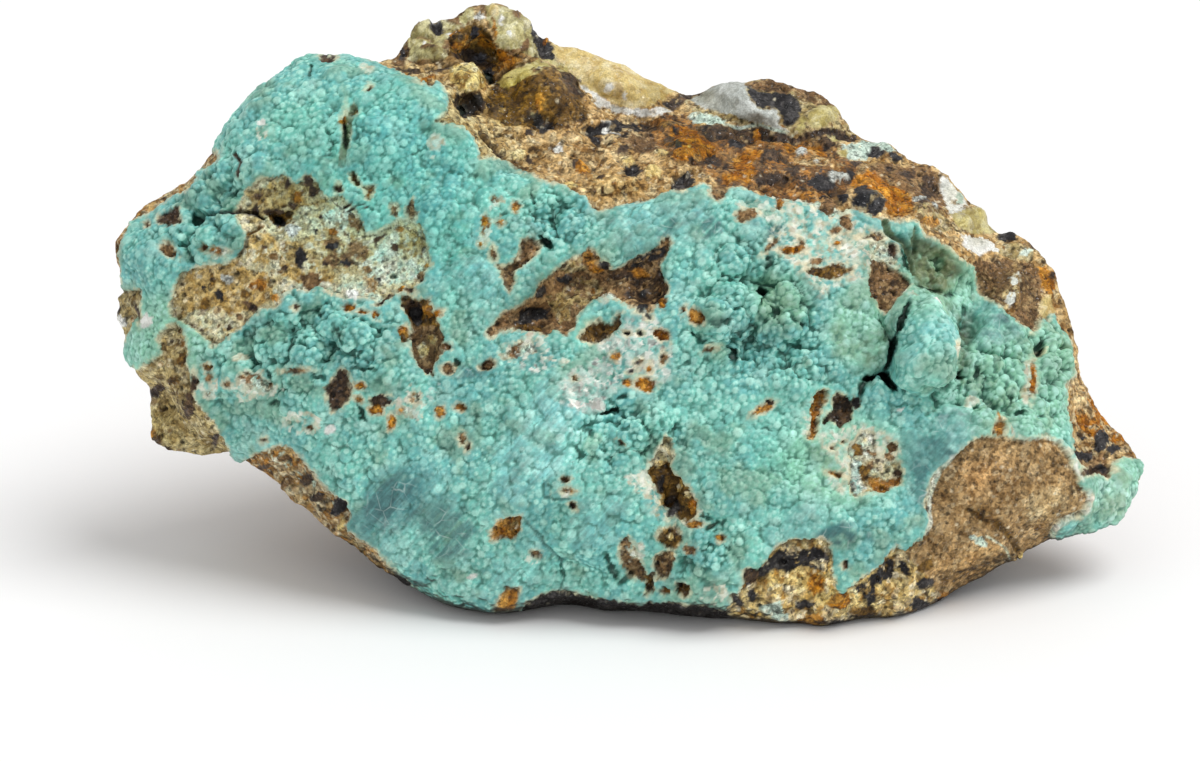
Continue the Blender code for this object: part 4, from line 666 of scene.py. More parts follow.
        (100.9, 23.6, 0.85, 0.5, -15), (106.0, 28.0, 0.4, 0.5, 0), (103.9, 35.2, 0.3, 0.3, 0),
        (40.2, 5.4, 0.25, 0.8, 0)]),
    ("rust", [
        (40.2, 29.0, 0.4, 0.3, 40), (35.0, 30.7, 0.4, 0.35, 0), (37.6, 31.6, 0.35, 0.4, 0),
        (36.3, 31.2, 0.5, 0.2, 0), (40.1, 33.2, 0.35, 0.4, 0), (36.1, 38.6, 0.55, 0.3, 10),
        (37.6, 41.0, 0.7, 0.5, 0), (39.0, 42.4, 0.35, 0.7, 0), (40.4, 41.2, 0.45, 0.3, 0),
        (43.9, 31.3, 0.45, 0.3, 40), (48.4, 22.7, 0.35, 0.8, 0), (64.5, 38.5, 1.0, 0.6, 0),
        (62.6, 38.4, 0.4, 0.3, 0), (66.1, 33.7, 0.8, 0.5, -20), (66.3, 30.4, 0.35, 0.45, 0),
        (71.9, 53.8, 0.25, 0.3, 0), (69.3, 50.7, 0.4, 0.6, 0), (79.2, 25.0, 1.0, 0.3, 0),
        (83.6, 24.5, 0.5, 0.3, 15), (103.2, 38.2, 0.3, 1.3, 0), (94.4, 59.8, 0.9, 0.4, -10),
        (83.6, 60.4, 0.9, 0.4, 0), (65.0, 36.9, 0.2, 0.4, 0), (66.2, 30.5, 0.3, 0.3, 0),
        (50.8, 6.2, 0.9, 0.4, 20), (42.8, 7.9, 0.8, 0.3, 20), (75.8, 13.5, 0.4, 0.6, 0),
        (34.4, 12.2, 0.3, 0.3, 0), (49.3, 2.4, 0.2, 1.1, 10), (50.4, 53.0, 0.6, 0.4, 0),
        (58.2, 16.9, 0.6, 0.5, 0), (54.6, 4.0, 0.2, 0.3, 0)]),
    # white spots; those on the top block are glints, painted highlights
    ("white", [
        (14.9, 32.1, 0.5, 0.6, 0), (12.2, 32.0, 0.4, 0.5, 0), (43.4, 39.0, 0.7, 1.0, 0),
        (43.8, 14.6, 0.7, 1.0, 0), (55.8, 14.8, 0.6, 0.4, 20), (60.8, 8.9, 0.5, 0.25, 20),
        (62.4, 9.7, 0.2, 0.35, 0), (50.1, 2.2, 0.3, 0.45, 0), (47.9, 1.6, 0.5, 0.3, 0),
        (50.9, 3.4, 0.2, 0.35, 0), (42.6, 4.5, 0.25, 0.18, 0), (44.8, 3.3, 0.3, 0.3, 0),
        (47.0, 6.9, 0.3, 0.3, 0), (97.8, 24.0, 0.9, 0.4, 0), (35.2, 29.4, 0.7, 0.4, -30),
        (26.0, 12.4, 0.5, 0.35, 0), (60.6, 12.6, 0.3, 0.3, 0), (47.4, 57.6, 0.4, 0.3, 0),
        (33.0, 43.0, 0.5, 0.4, 0), (93.2, 31.2, 0.3, 0.3, 0), (90.1, 41.0, 0.3, 0.3, 0)]),
    ("grey", [
        (29.1, 23.1, 0.75, 0.65, 0), (83.7, 17.6, 1.1, 0.4, -5), (80.1, 15.3, 0.5, 0.4, 0),
        (81.6, 16.2, 0.4, 0.25, 0), (93.4, 20.9, 0.4, 0.3, 0), (91.8, 20.3, 0.6, 0.2, 10),
        (22.8, 27.9, 0.55, 0.45, 0)]),
    ("gold", [
        (65.9, 46.6, 0.5, 0.45, 0), (67.7, 48.6, 0.35, 0.7, -30), (68.8, 49.6, 0.3, 0.5, -30),
        (66.1, 50.0, 0.35, 0.7, -30), (67.0, 53.6, 0.3, 0.3, 0), (51.2, 52.6, 0.35, 0.4, 0),
        (77.6, 57.6, 0.8, 0.5, 20), (88.0, 59.0, 0.6, 0.5, 0), (42.2, 35.0, 0.5, 0.7, 0),
        (43.2, 33.8, 0.4, 0.4, 0)]),
    ("cream", [
        (27.2, 18.6, 0.5, 0.4, 0), (34.2, 52.4, 0.4, 0.6, 0), (57.0, 18.4, 0.7, 0.3, 10),
        (101.8, 56.0, 0.2, 0.9, -30), (66.2, 15.4, 0.7, 0.3, 0), (51.6, 15.6, 0.9, 0.5, 20),
        (62.8, 15.8, 0.8, 0.3, -20), (65.2, 17.2, 0.9, 0.4, 0), (46.8, 7.2, 0.5, 0.5, 0),
        (49.4, 1.2, 0.5, 0.6, 0)]),
    ("pale", [(95.9, 20.0, 0.4, 0.5, 0), (102.6, 25.1, 0.6, 0.25, 10), (97.8, 54.0, 1.0, 0.4, -20)]),
    ("chalk", [
        (41.2, 40.5, 1.4, 1.8, 0), (30.2, 42.2, 1.8, 1.1, -10), (25.6, 38.3, 2.6, 1.4, 0),
        (21.0, 38.2, 1.1, 1.5, 0), (24.2, 35.8, 0.8, 0.5, 0), (49.9, 21.2, 0.9, 1.5, 0),
        (48.2, 23.5, 0.9, 1.7, 0), (63.6, 55.0, 0.8, 1.0, 0), (71.4, 59.2, 1.2, 1.0, 0),
        (53.4, 34.8, 1.2, 1.3, 0), (51.0, 35.4, 1.2, 1.0, 0), (55.6, 36.2, 1.4, 0.6, 0),
        (60.6, 29.9, 0.8, 0.5, 0), (94.6, 35.4, 0.35, 0.5, 0), (102.5, 38.4, 0.4, 2.0, 0),
        (97.4, 40.2, 0.9, 0.4, 0), (53.4, 55.4, 0.9, 0.8, 0), (91.0, 29.4, 0.9, 0.6, 0),
        (43.6, 14.6, 0.9, 1.2, 0), (56.0, 49.4, 1.2, 0.6, 0), (26.2, 13.4, 0.8, 0.8, 0),
        (36.6, 7.2, 0.8, 0.4, -30), (21.6, 25.2, 1.4, 0.7, 0)]),
]

# Drawn lines: kind, half width, how deep they are cut, and their points.
LINES = [
    ("black", 0.16, 0.6, [
        (19.9, 21.6), (21.2, 21.2), (22.6, 21.3), (24.2, 21.2), (25.4, 21.4), (26.4, 21.9)]),
    ("umber", 0.16, 0.3, [(25.9, 22.9), (24.8, 23.4), (24.7, 24.5), (23.9, 25.6)]),
    ("dark", 0.14, 0.2, [(34.4, 20.8), (35.2, 20.3)]),
    ("dark", 0.12, 0.2, [(34.9, 21.1), (35.9, 20.5), (36.4, 20.5)]),
    ("dark", 0.12, 0.2, [(35.8, 21.1), (36.7, 20.7)]),
    ("dark", 0.14, 0.3, [(24.1, 17.6), (24.3, 16.4), (23.6, 15.4)]),
    ("white", 0.06, -0.05, [(60.2, 12.0), (61.0, 12.2), (61.2, 13.0), (62.0, 13.4)]),
    ("pale", 0.13, 0.0, [(72.4, 12.5), (74.4, 12.6), (75.8, 12.5), (77.6, 12.9), (79.3, 13.4)]),
    ("brown", 0.16, 0.25, [(41.2, 3.7), (42.4, 3.8), (43.3, 4.2)]),
    ("brown", 0.16, 0.25, [(41.0, 6.1), (42.6, 6.2), (44.2, 6.0)]),
    ("dark", 0.3, 0.3, [(48.2, 13.1), (49.2, 14.2), (50.4, 15.6)]),
    ("olive", 0.3, 0.7, [(88.5, 22.2), (88.9, 23.2), (90.2, 24.3), (91.0, 25.6), (91.3, 27.4)]),
    ("chalk", 0.32, 0.0, [
        (95.2, 45.6), (93.9, 47.1), (93.3, 48.4), (92.8, 49.8), (92.8, 51.0), (93.0, 52.2), (92.4, 53.4)]),
    ("teal", 0.13, 0.25, [
        (52.4, 51.6), (53.4, 52.8), (54.8, 54.6), (56.2, 56.0), (56.4, 57.6), (56.0, 58.8)]),
    ("teal", 0.12, 0.2, [(54.2, 48.6), (54.5, 49.6), (55.4, 49.95), (57.0, 49.8)]),
    ("chalk", 0.18, -0.1, [
        (100.5, 42.2), (101.2, 43.2), (102.4, 43.9), (104.4, 43.8), (106.0, 44.3), (107.1, 45.6),
        (107.7, 47.2), (108.3, 48.6), (108.9, 49.6), (108.5, 51.0), (106.6, 51.7), (105.4, 52.6),
        (105.0, 53.6)]),
    ("umber", 0.3, 0.2, [(96.8, 51.0), (98.2, 51.8), (99.8, 52.4), (101.2, 54.0), (101.8, 55.0)]),
    ("dark", 0.12, 0.2, [(106.9, 40.2), (106.6, 41.2), (107.2, 42.4)]),
    ("dark", 0.16, 0.3, [(88.9, 24.4), (89.9, 26.6), (90.4, 27.6)]),
    ("olive", 0.22, 0.5, [(91.4, 22.9), (91.2, 24.2), (91.6, 25.6)]),
    ("umber", 0.2, 0.4, [(49.0, 8.2), (49.9, 7.5), (51.0, 6.9), (52.4, 6.3)]),
    ("chalk", 0.12, 0.0, [(98.6, 53.6), (99.8, 54.3), (100.6, 54.9), (101.0, 55.8)]),
    ("rust", 0.14, 0.0, [(99.6, 41.2), (100.0, 42.4)]),
    ("olive", 0.34, 0.15, [(35.4, 10.8), (35.0, 12.2), (34.7, 13.8), (34.4, 15.2), (34.3, 16.6)]),
]

# Where the crust is glassy: across, down, half width, half height and turn.
GLASSY_SPOTS = [
    (94.4, 44.2, 4.6, 3.0, 35), (38.8, 50.2, 5.4, 3.4, 48), (44.6, 53.0, 3.2, 4.4, 35),
    (66.6, 23.0, 2.4, 1.1, 30), (99.2, 32.8, 3.4, 2.4, 0), (78.0, 23.4, 2.6, 1.2, 0),
    (92.0, 48.0, 1.8, 3.0, 0), (71.0, 23.0, 2.0, 1.6, 0), (46.0, 37.4, 3.0, 1.2, 0),
    (84.6, 53.6, 4.0, 1.6, 0),
]
# Where its round grains are low and it is finely streaked.
SMOOTH_SPOTS = [
    (53.0, 46.0, 7.0, 4.4, 38), (66.0, 22.6, 7.0, 3.0, 12), (41.0, 51.0, 8.0, 5.0, 46),
    (59.5, 52.0, 4.6, 3.2, 40), (80.0, 53.0, 6.0, 3.2, 20), (48.0, 29.0, 3.4, 5.0, 20),
    (94.6, 43.6, 5.0, 3.6, 30), (52.0, 57.0, 4.0, 2.6, 20), (56.0, 39.6, 5.0, 3.0, 20),
]
# Where it is lumpy, and where it is greener.
LUMPY_SPOTS = [
    (30.0, 35.0, 12.0, 6.0, 0), (76.0, 32.0, 10.0, 9.0, 0), (100.0, 37.4, 10.0, 5.0, 0),
    (62.0, 43.0, 7.0, 4.0, 0), (54.0, 21.6, 5.0, 3.0, 0), (22.0, 18.6, 6.0, 4.0, 0),
    (34.0, 13.0, 4.0, 4.0, 0), (70.0, 54.0, 5.0, 4.0, 0), (105.6, 36.0, 3.0, 4.0, 0),
    (93.6, 27.0, 2.2, 2.2, 0), (20.0, 24.0, 5.0, 3.0, 0),
]
GREEN_SPOTS = [
    (94.0, 28.0, 6.0, 5.0, 20), (102.0, 38.0, 10.0, 8.0, 0), (84.0, 46.0, 8.0, 6.0, 0),
    (112.0, 49.0, 5.0, 5.0, 0), (86.0, 33.0, 4.0, 5.0, 0), (17.0, 34.0, 5.0, 6.0, 0),
    (78.0, 30.0, 4.0, 3.0, 0),
]
# Bumps and hollows: across, down, half width, half height, turn and rise.
RELIEF = [
    (42.4, 2.8, 1.6, 1.0, 0, 0.5), (42.6, 5.0, 1.8, 0.9, 0, 0.5), (47.2, 4.6, 1.9, 2.2, 20, -1.3),
    (51.4, 3.0, 1.5, 2.8, -25, 0.5), (46.4, 7.8, 2.0, 1.3, -10, 0.8), (47.0, 10.4, 1.4, 1.1, 0, -0.5),
    (42.6, 6.9, 2.6, 0.3, 0, -0.6), (43.7, 2.7, 0.6, 0.7, 0, -0.7), (54.4, 8.8, 4.0, 2.2, -25, 1.2),
    (51.2, 11.8, 2.4, 0.8, -10, -0.5), (54.4, 12.2, 1.2, 0.7, -10, -0.8), (59.4, 12.8, 2.2, 0.6, 0, -0.7),
    (49.4, 14.6, 0.4, 1.8, 40, -0.7), (60.8, 7.8, 3.2, 1.6, -25, 0.7), (63.4, 16.9, 0.7, 0.7, 0, -0.5),
    (68.2, 18.0, 1.1, 0.8, 0, -0.7), (73.0, 9.6, 2.6, 1.3, 0, 0.7), (77.6, 10.6, 1.6, 1.1, 0, -0.3),
    (82.0, 11.6, 1.6, 1.0, 0, 0.5), (74.0, 13.8, 5.0, 0.4, -4, -0.6), (69.0, 14.8, 2.0, 1.4, 0, 0.5),
    (86.0, 14.6, 2.4, 0.6, -10, 0.5), (87.0, 19.2, 2.2, 1.2, -20, 0.6), (83.6, 19.2, 1.0, 0.6, 0, -0.5),
    (97.4, 21.6, 1.6, 1.0, 0, 0.6), (92.0, 20.6, 2.4, 1.0, -30, 0.5), (101.0, 23.5, 0.8, 0.4, 0, 0.3),
    (99.2, 27.8, 1.6, 2.0, 0, -0.3), (102.9, 29.4, 0.9, 2.6, 0, -0.3), (105.0, 28.4, 0.8, 2.4, -15, 0.4),
    (62.0, 18.6, 2.4, 0.8, 0, 0.4), (56.0, 16.4, 2.4, 0.8, -20, 0.4), (27.2, 21.6, 0.6, 0.4, 0, -0.5),
    (28.0, 22.1, 0.7, 0.45, -20, -0.6), (28.8, 21.5, 0.6, 0.35, 20, -0.4),
    (57.4, 29.8, 2.6, 1.2, 35, 0.35), (53.0, 31.4, 1.8, 0.6, 10, -0.35), (64.6, 28.4, 1.6, 2.2, 0, -0.6),
    (41.6, 31.6, 0.8, 1.4, 0, -0.8), (93.6, 27.0, 2.4, 3.0, 25, -0.9), (96.6, 33.4, 1.1, 3.0, -10, -0.8),
    (87.4, 34.6, 1.8, 2.6, -15, 0.8), (105.6, 35.4, 1.3, 1.8, 0, 0.6), (103.9, 34.8, 0.5, 1.0, 0, -0.8),
    (67.2, 49.4, 0.7, 2.2, -25, -0.6), (78.0, 55.8, 1.4, 0.8, 0, -0.5), (89.4, 56.6, 1.2, 1.1, 0, -0.5),
    (99.4, 49.6, 5.4, 3.6, -10, 0.4), (87.8, 38.8, 0.8, 0.6, 0, 0.7), (76.0, 31.4, 1.5, 1.2, 0, 0.5),
    (74.2, 30.4, 1.6, 1.6, 0, 0.7), (72.0, 33.4, 0.9, 1.2, 0, 0.4), (78.6, 33.2, 1.4, 1.0, 0, 0.5),
    (103.1, 38.4, 0.5, 1.8, 0, 0.3), (19.9, 21.6, 0.6, 0.6, 0, -1.2), (84.0, 41.0, 1.0, 1.2, 0, -0.3),
]
# Steep forms: how far they rise, over how wide a slope, and outline.
FORMS = [
    (1.5, 1.9, [
        (92.4, 29.4), (93.6, 29.6), (94.4, 30.6), (95.0, 32.0), (95.4, 33.4), (95.8, 34.8), (95.7, 36.4),
        (95.6, 37.6), (93.6, 39.0), (91.4, 39.4), (89.4, 38.8), (88.9, 37.6), (89.4, 36.0), (90.2, 33.6),
        (91.0, 31.6), (91.8, 30.0)]),
]
# Soft gains, partly painted light and shade, partly the stone's own tone: how much red, green and blue are
# multiplied, across, down, half width, half height, turn.
SHADE_AND_TONE_GAINS = [
    ((1.02, 1.0, 1.0), 98.5, 48.0, 3.6, 2.4, 40), ((1.1, 1.22, 1.34), 104.6, 50.4, 3.0, 2.0, 20),
    ((0.96, 0.94, 0.88), 100.0, 56.0, 2.4, 1.2, 0), ((0.75, 0.72, 0.66), 97.8, 51.4, 0.9, 1.4, 0),
    ((1.3, 1.07, 0.91), 93.8, 27.0, 2.6, 2.8, 20), ((0.76, 0.7, 0.66), 96.6, 34.0, 1.0, 3.0, -10),
    ((1.26, 1.18, 1.2), 93.2, 33.8, 2.2, 3.8, 0), ((0.84, 0.82, 0.8), 89.4, 33.6, 1.2, 2.8, -20),
    ((1.36, 1.26, 1.31), 56.0, 44.0, 5.0, 4.0, 0), ((0.94, 1.06, 1.35), 47.2, 4.6, 2.2, 2.4, 0),
    ((1.12, 1.1, 0.5), 51.8, 10.2, 3.2, 2.4, -10), ((0.68, 0.64, 0.56), 54.0, 29.6, 5.0, 2.4, 30),
    ((1.25, 1.2, 1.05), 87.4, 18.4, 3.0, 1.6, -20), ((0.7, 0.78, 0.86), 38.8, 50.4, 5.0, 3.0, 45),
    ((1.2, 1.2, 1.1), 82.0, 58.4, 7.0, 3.0, -10), ((0.74, 0.96, 0.97), 39.0, 18.0, 13.0, 11.0, 0),
    ((1.3, 1.22, 1.14), 97.4, 47.4, 1.6, 1.8, 20), ((0.66, 0.58, 0.44), 98.4, 51.6, 1.8, 1.2, -35),
    ((0.8, 0.78, 0.74), 105.0, 46.2, 2.0, 1.2, -20), ((1.38, 1.36, 1.3), 97.0, 56.4, 4.0, 2.4, 20),
    ((1.04, 1.02, 1.0), 109.4, 41.0, 2.4, 2.4, -40), ((0.74, 0.8, 0.8), 41.0, 50.2, 3.2, 2.4, 45),
    ((0.84, 0.88, 0.94), 48.0, 5.0, 3.0, 2.2, 0), ((0.74, 0.72, 0.17), 69.2, 14.4, 2.6, 1.8, 0),
    ((1.14, 1.14, 0.84), 89.0, 19.6, 2.2, 1.2, -20), ((0.4, 0.5, 0.64), 86.3, 20.4, 1.6, 0.9, 0),
    ((0.94, 0.9, 0.84), 105.6, 35.6, 1.8, 3.4, 0), ((0.84, 0.84, 0.78), 28.2, 19.6, 3.8, 1.8, 0),
    ((0.9, 0.95, 0.95), 63.0, 54.0, 6.0, 4.0, 0), ((0.84, 0.88, 0.86), 56.0, 52.0, 4.0, 3.0, 0),
    ((0.86, 0.97, 0.97), 46.0, 25.0, 6.0, 6.0, 0), ((1.0, 1.1, 1.08), 64.6, 23.4, 3.0, 1.6, 20),
    ((1.08, 1.14, 1.2), 26.0, 25.0, 2.6, 1.6, 0), ((0.82, 0.86, 0.82), 101.0, 28.4, 3.0, 2.6, 0),
    ((1.12, 1.2, 1.15), 46.6, 7.8, 1.7, 1.2, 0), ((1.05, 1.03, 0.9), 61.4, 18.6, 3.6, 1.6, 0),
    ((0.8, 0.77, 0.68), 70.6, 9.8, 1.6, 0.9, -20), ((1.04, 1.06, 1.03), 32.0, 11.0, 5.0, 4.0, 0),
    ((1.0, 1.1, 1.1), 78.0, 46.0, 4.0, 3.0, 0), ((1.36, 1.14, 1.2), 111.0, 49.8, 2.6, 2.6, 0),
    ((0.66, 0.62, 0.48), 65.6, 9.4, 2.0, 1.2, -20), ((0.7, 0.71, 0.72), 31.0, 48.8, 4.8, 2.2, -42),
    ((0.76, 0.86, 0.92), 42.6, 34.6, 1.6, 2.4, 0), ((0.9, 0.9, 0.9), 73.2, 9.9, 4.2, 1.6, -10),
    ((1.2, 1.26, 1.36), 53.2, 7.1, 2.4, 0.7, -5), ((0.86, 0.9, 0.94), 93.8, 44.8, 3.4, 2.2, 35),
    ((0.86, 0.85, 0.78), 95.4, 19.6, 1.4, 1.6, 0), ((0.84, 0.82, 0.76), 97.8, 24.0, 1.4, 0.9, 0),
    ((1.25, 1.2, 0.86), 47.0, 10.2, 1.3, 1.1, 0), ((0.84, 0.86, 0.9), 34.4, 25.6, 2.0, 1.5, 0),
    ((0.96, 0.9, 0.84), 33.0, 29.0, 2.0, 1.2, 0), ((0.93, 0.89, 0.74), 16.0, 43.0, 2.4, 2.6, 0),
    ((0.86, 0.89, 0.87), 83.2, 59.6, 2.0, 1.4, 0),
]
# Gaps between the lumps, cut in along the sight line and painted nearly black as their shade: across, down,
# half width, half height, turn, depth.
GAPS = [
    (88.5, 37.9, 1.2, 0.75, -10, 3.0), (87.1, 37.8, 0.9, 0.55, 10, 2.6),
    (89.2, 38.6, 0.6, 0.45, -40, 2.4), (86.2, 38.9, 0.4, 0.7, 0, 1.2), (90.5, 32.0, 0.26, 1.6, -20, 1.4),
    (89.3, 35.2, 0.36, 1.7, -22, 1.9), (76.1, 29.9, 0.42, 0.9, -10, 1.6), (77.6, 31.3, 0.3, 0.5, 40, 0.7),
    (73.0, 35.8, 0.3, 1.0, 25, 1.2), (71.8, 32.0, 0.9, 0.25, 0, 0.8), (74.2, 32.8, 1.2, 0.25, 10, 0.7),
    (80.0, 32.6, 0.3, 0.4, 0, 0.6), (79.8, 36.8, 0.3, 0.4, 0, 0.5), (76.7, 26.3, 0.3, 0.6, 0, 0.8),
    (54.6, 24.2, 0.4, 0.9, 35, 1.4), (53.3, 19.9, 0.2, 0.7, 20, 0.6), (55.3, 21.3, 0.2, 0.7, 10, 0.6),
    (45.6, 36.3, 0.35, 0.35, 0, 0.9), (60.9, 41.2, 0.8, 0.35, 20, 1.3), (62.2, 39.8, 0.6, 0.25, 20, 0.7),
    (71.2, 52.6, 0.8, 0.25, 35, 0.8), (61.2, 56.6, 0.3, 1.3, 30, 0.8), (62.6, 57.8, 0.9, 0.3, 35, 0.7),
    (29.4, 34.4, 0.3, 0.9, -20, 0.8), (27.9, 40.2, 0.6, 0.3, 0, 0.7), (34.2, 33.4, 0.25, 0.8, 30, 0.6),
    (32.4, 36.2, 0.6, 0.25, 10, 0.6), (27.0, 37.6, 0.25, 0.7, 0, 0.6), (30.2, 32.0, 0.25, 0.7, 20, 0.6),
    (32.2, 31.6, 0.3, 0.3, 0, 0.5), (36.2, 41.2, 0.25, 0.9, 25, 0.8), (39.2, 27.8, 0.4, 0.25, 20, 0.6),
    (36.6, 36.9, 1.2, 0.2, 0, 0.6), (19.7, 21.8, 0.4, 0.5, 20, 0.8), (34.6, 13.4, 0.2, 1.4, 5, 0.8),
    (31.0, 7.4, 0.16, 0.6, 0, 0.7), (27.8, 22.0, 0.45, 0.3, 0, 0.8), (97.6, 37.4, 0.3, 0.7, 0, 0.8),
    (95.7, 37.6, 0.3, 0.6, 0, 1.1), (99.2, 36.2, 0.25, 0.7, 20, 0.6), (104.0, 35.0, 0.3, 0.7, -10, 0.9),
    (96.2, 31.2, 0.3, 0.6, 30, 0.7), (94.8, 29.6, 0.4, 0.3, 0, 0.7), (93.0, 29.0, 1.2, 0.25, -10, 0.7),
    (101.0, 39.8, 0.2, 1.0, -10, 0.5), (46.2, 11.1, 0.4, 0.35, 30, 1.0), (48.7, 7.8, 0.6, 0.3, -30, 1.0),
    (90.4, 26.2, 0.25, 1.2, 25, 0.8), (98.2, 35.6, 0.5, 0.2, 20, 0.4), (102.0, 41.6, 0.7, 0.2, 0, 0.5),
    (58.9, 43.4, 0.3, 0.3, 0, 0.6), (36.0, 35.4, 0.2, 0.6, -20, 0.5),
]


def to_sheet(places):
    """Where the sheet shows places in millimetres: across, down and depth."""
    up = places[:, 2] - MIDDLE_HEIGHT
    depth = places[:, 1] * math.cos(ELEVATION) - up * math.sin(ELEVATION)
    rise = places[:, 1] * math.sin(ELEVATION) + up * math.cos(ELEVATION)
    spread = (EYE_DISTANCE + depth) / EYE_DISTANCE
    return SHEET_MIDDLE[0] + places[:, 0] / spread, SHEET_MIDDLE[1] - rise / spread, depth


def linear(colour):
    """A colour from 0 to 255 as the renderer counts it."""
    share = np.array(colour) / 255.0
    return np.where(share <= 0.04045, share / 12.92, ((share + 0.055) / 1.055) ** 2.4)


def eased(x):
    """0 below 0, 1 above 1, and a smooth rise between."""
    x = np.clip(x, 0, 1)
    return x * x * (3 - 2 * x)


def blended(first, second, share):
    """Colours between two, by a share for each place."""
    return first * (1 - share[:, None]) + second * share[:, None]


def hashed(x, y, z, salt):
    """A repeatable number from 0 to 1 for each lattice point."""
    h = x.astype(np.uint32) * np.uint32(73856093)
    h ^= y.astype(np.uint32) * np.uint32(19349663)
    h ^= z.astype(np.uint32) * np.uint32(83492791)
    h ^= np.uint32((salt * 2654435761) % 4294967296)
    for shift, factor in ((16, 0x7FEB352D), (15, 0x846CA68B)):
        h ^= h >> np.uint32(shift)
        h *= np.uint32(factor)
    h ^= h >> np.uint32(16)
    return h.astype(np.float64) / 4294967296.0


def smooth_noise(places, size, salt):
    """Smooth noise from -1 to 1 whose features have about this size in millimetres."""
    at = places @ TWIST / size + salt * 7.31
    cell = np.floor(at)
    part = at - cell
    part = part * part * (3 - 2 * part)
    cell = cell.astype(np.int64)
    total = np.zeros(len(places))
    for corner in range(8):
        step = (corner & 1, corner >> 1 & 1, corner >> 2 & 1)
        weight = np.ones(len(places))
        for axis in range(3):
            weight *= part[:, axis] if step[axis] else 1 - part[:, axis]
        total += weight * hashed(cell[:, 0] + step[0], cell[:, 1] + step[1], cell[:, 2] + step[2], salt)
    return total * 2 - 1


def layered_noise(places, size, salt, layers=3):
    """Smooth noise with finer layers on it, from about -1 to 1."""
    total, weight, reach = 0.0, 1.0, 0.0
    for layer in range(layers):
        total = total + weight * smooth_noise(places, size / 2.03**layer, salt + layer * 13)
        reach += weight
        weight *= 0.55
    return total / reach * 1.5


def cells(places, size, salt):
    """The nearest of scattered seeds, one to a cell of this size.

    Gives its distance and the next one's, in sizes, its own number from 0 to 1, and the way from it.
    """
    at = places @ TWIST / size + salt * 3.17
    home = np.floor(at).astype(np.int64)
    first = np.full(len(places), 9.0)
    second = np.full(len(places), 9.0)
    number = np.zeros(len(places))
    way = np.zeros((len(places), 3))
    for step in np.ndindex(3, 3, 3):
        cell = home + np.array(step) - 1
        seed = [
            cell[:, axis] + hashed(cell[:, 0], cell[:, 1], cell[:, 2], salt + 101 + axis)
            for axis in range(3)]
        off = at - np.stack(seed, 1)
        distance = np.sqrt((off * off).sum(1))
        nearer = distance < first
        second = np.where(nearer, first, np.minimum(second, distance))
        number = np.where(nearer, hashed(cell[:, 0], cell[:, 1], cell[:, 2], salt + 7), number)
        way = np.where(nearer[:, None], off, way)
        first = np.where(nearer, distance, first)
    return first, second, number, way


def facets(places, size, salt):
    """The height of broken, tilted facets, from about -1 to 1 and 0 where two of them meet."""
    first, second, number, way = cells(places, size, salt)
    turn = number * math.tau
    lean = (number * 7.0) % 1.0 * 2 - 1
    height = 1.9 * (way[:, 0] * np.cos(turn) + way[:, 1] * np.sin(turn) + way[:, 2] * lean)
    return np.clip(height, -1, 1) * eased((second - first) / 0.35)


def boxed(across, down, points, margin):
    """The places in the upright box around these points, grown by a margin."""
    corners = np.array(points)
    low, high = corners.min(0) - margin, corners.max(0) + margin
    return np.flatnonzero((across > low[0]) & (across < high[0]) & (down > low[1]) & (down < high[1]))


def step_distance(right, below, run, drop):
    """How far places lie from one straight step, both counted from where the step starts."""
    along = np.clip((right * run + below * drop) / (run * run + drop * drop), 0, 1)
    return np.hypot(right - along * run, below - along * drop)


def depth_inside(across, down, outline):
    """How far inside an outline each place lies, in millimetres; negative outside, and very low far off."""
    near = boxed(across, down, outline, 1.5)
    result = np.full(len(across), FAR_OUTSIDE)
    inside = np.zeros(len(near), dtype=bool)
    nearest = np.full(len(near), np.inf)
    for start, end in zip(outline, outline[1:] + outline[:1]):
        run, drop = end[0] - start[0], end[1] - start[1]
        right, below = across[near] - start[0], down[near] - start[1]
        nearest = np.minimum(nearest, step_distance(right, below, run, drop))
        if drop:
            inside ^= ((start[1] > down[near]) != (end[1] > down[near])) & (right < below * run / drop)
    result[near] = np.where(inside, nearest, -nearest)
    return result


def spot_reach(across, down, spot):
    """How far out in an ellipse each place lies: 0 in its middle, 1 on its rim."""
    middle, level, half_width, half_height, turn = spot[:5]
    angle = math.radians(turn)
    right, low = across - middle, down - level
    along = (right * math.cos(angle) - low * math.sin(angle)) / half_width
    over = (right * math.sin(angle) + low * math.cos(angle)) / half_height
    return np.hypot(along, over)


def around(across, down, spot, limit):
    """The places in an ellipse grown by this limit, and how far out in it each lies."""
    reach = max(spot[2], spot[3]) * limit
    near = np.flatnonzero((np.abs(across - spot[0]) < reach) & (np.abs(down - spot[1]) < reach))
    out = spot_reach(across[near], down[near], spot)
    return near[out < limit], out[out < limit]


def spot_share(across, down, spots):
    """1 in the middle of any of these ellipses, falling to 0 at its rim."""
    share = np.zeros(len(across))
    for spot in spots:
        near, out = around(across, down, spot, 1.25)
        share[near] = np.maximum(share[near], eased(1.25 - out))
    return share


def line_distance(across, down, points):
    """How far each place lies from a drawn line, in millimetres, up to 1."""
    near = boxed(across, down, points, 1.0)
    nearest = np.full(len(near), 1.0)
    for start, end in zip(points, points[1:]):
        run, drop = end[0] - start[0], end[1] - start[1]
        right, below = across[near] - start[0], down[near] - start[1]
        nearest = np.minimum(nearest, step_distance(right, below, run, drop))
    result = np.full(len(across), 1.0)
    result[near] = nearest
    return result


def streaks(skin, angle, length, width, salt):
    """Noise drawn out along one direction of the sheet, from -1 to 1."""
    turn = math.radians(angle)
    along = (skin.across * math.cos(turn) - skin.down * math.sin(turn)) / length
    over = (skin.across * math.sin(turn) + skin.down * math.cos(turn)) / width
    return smooth_noise(np.stack([along, over, skin.depth / length], 1), 1.0, salt)


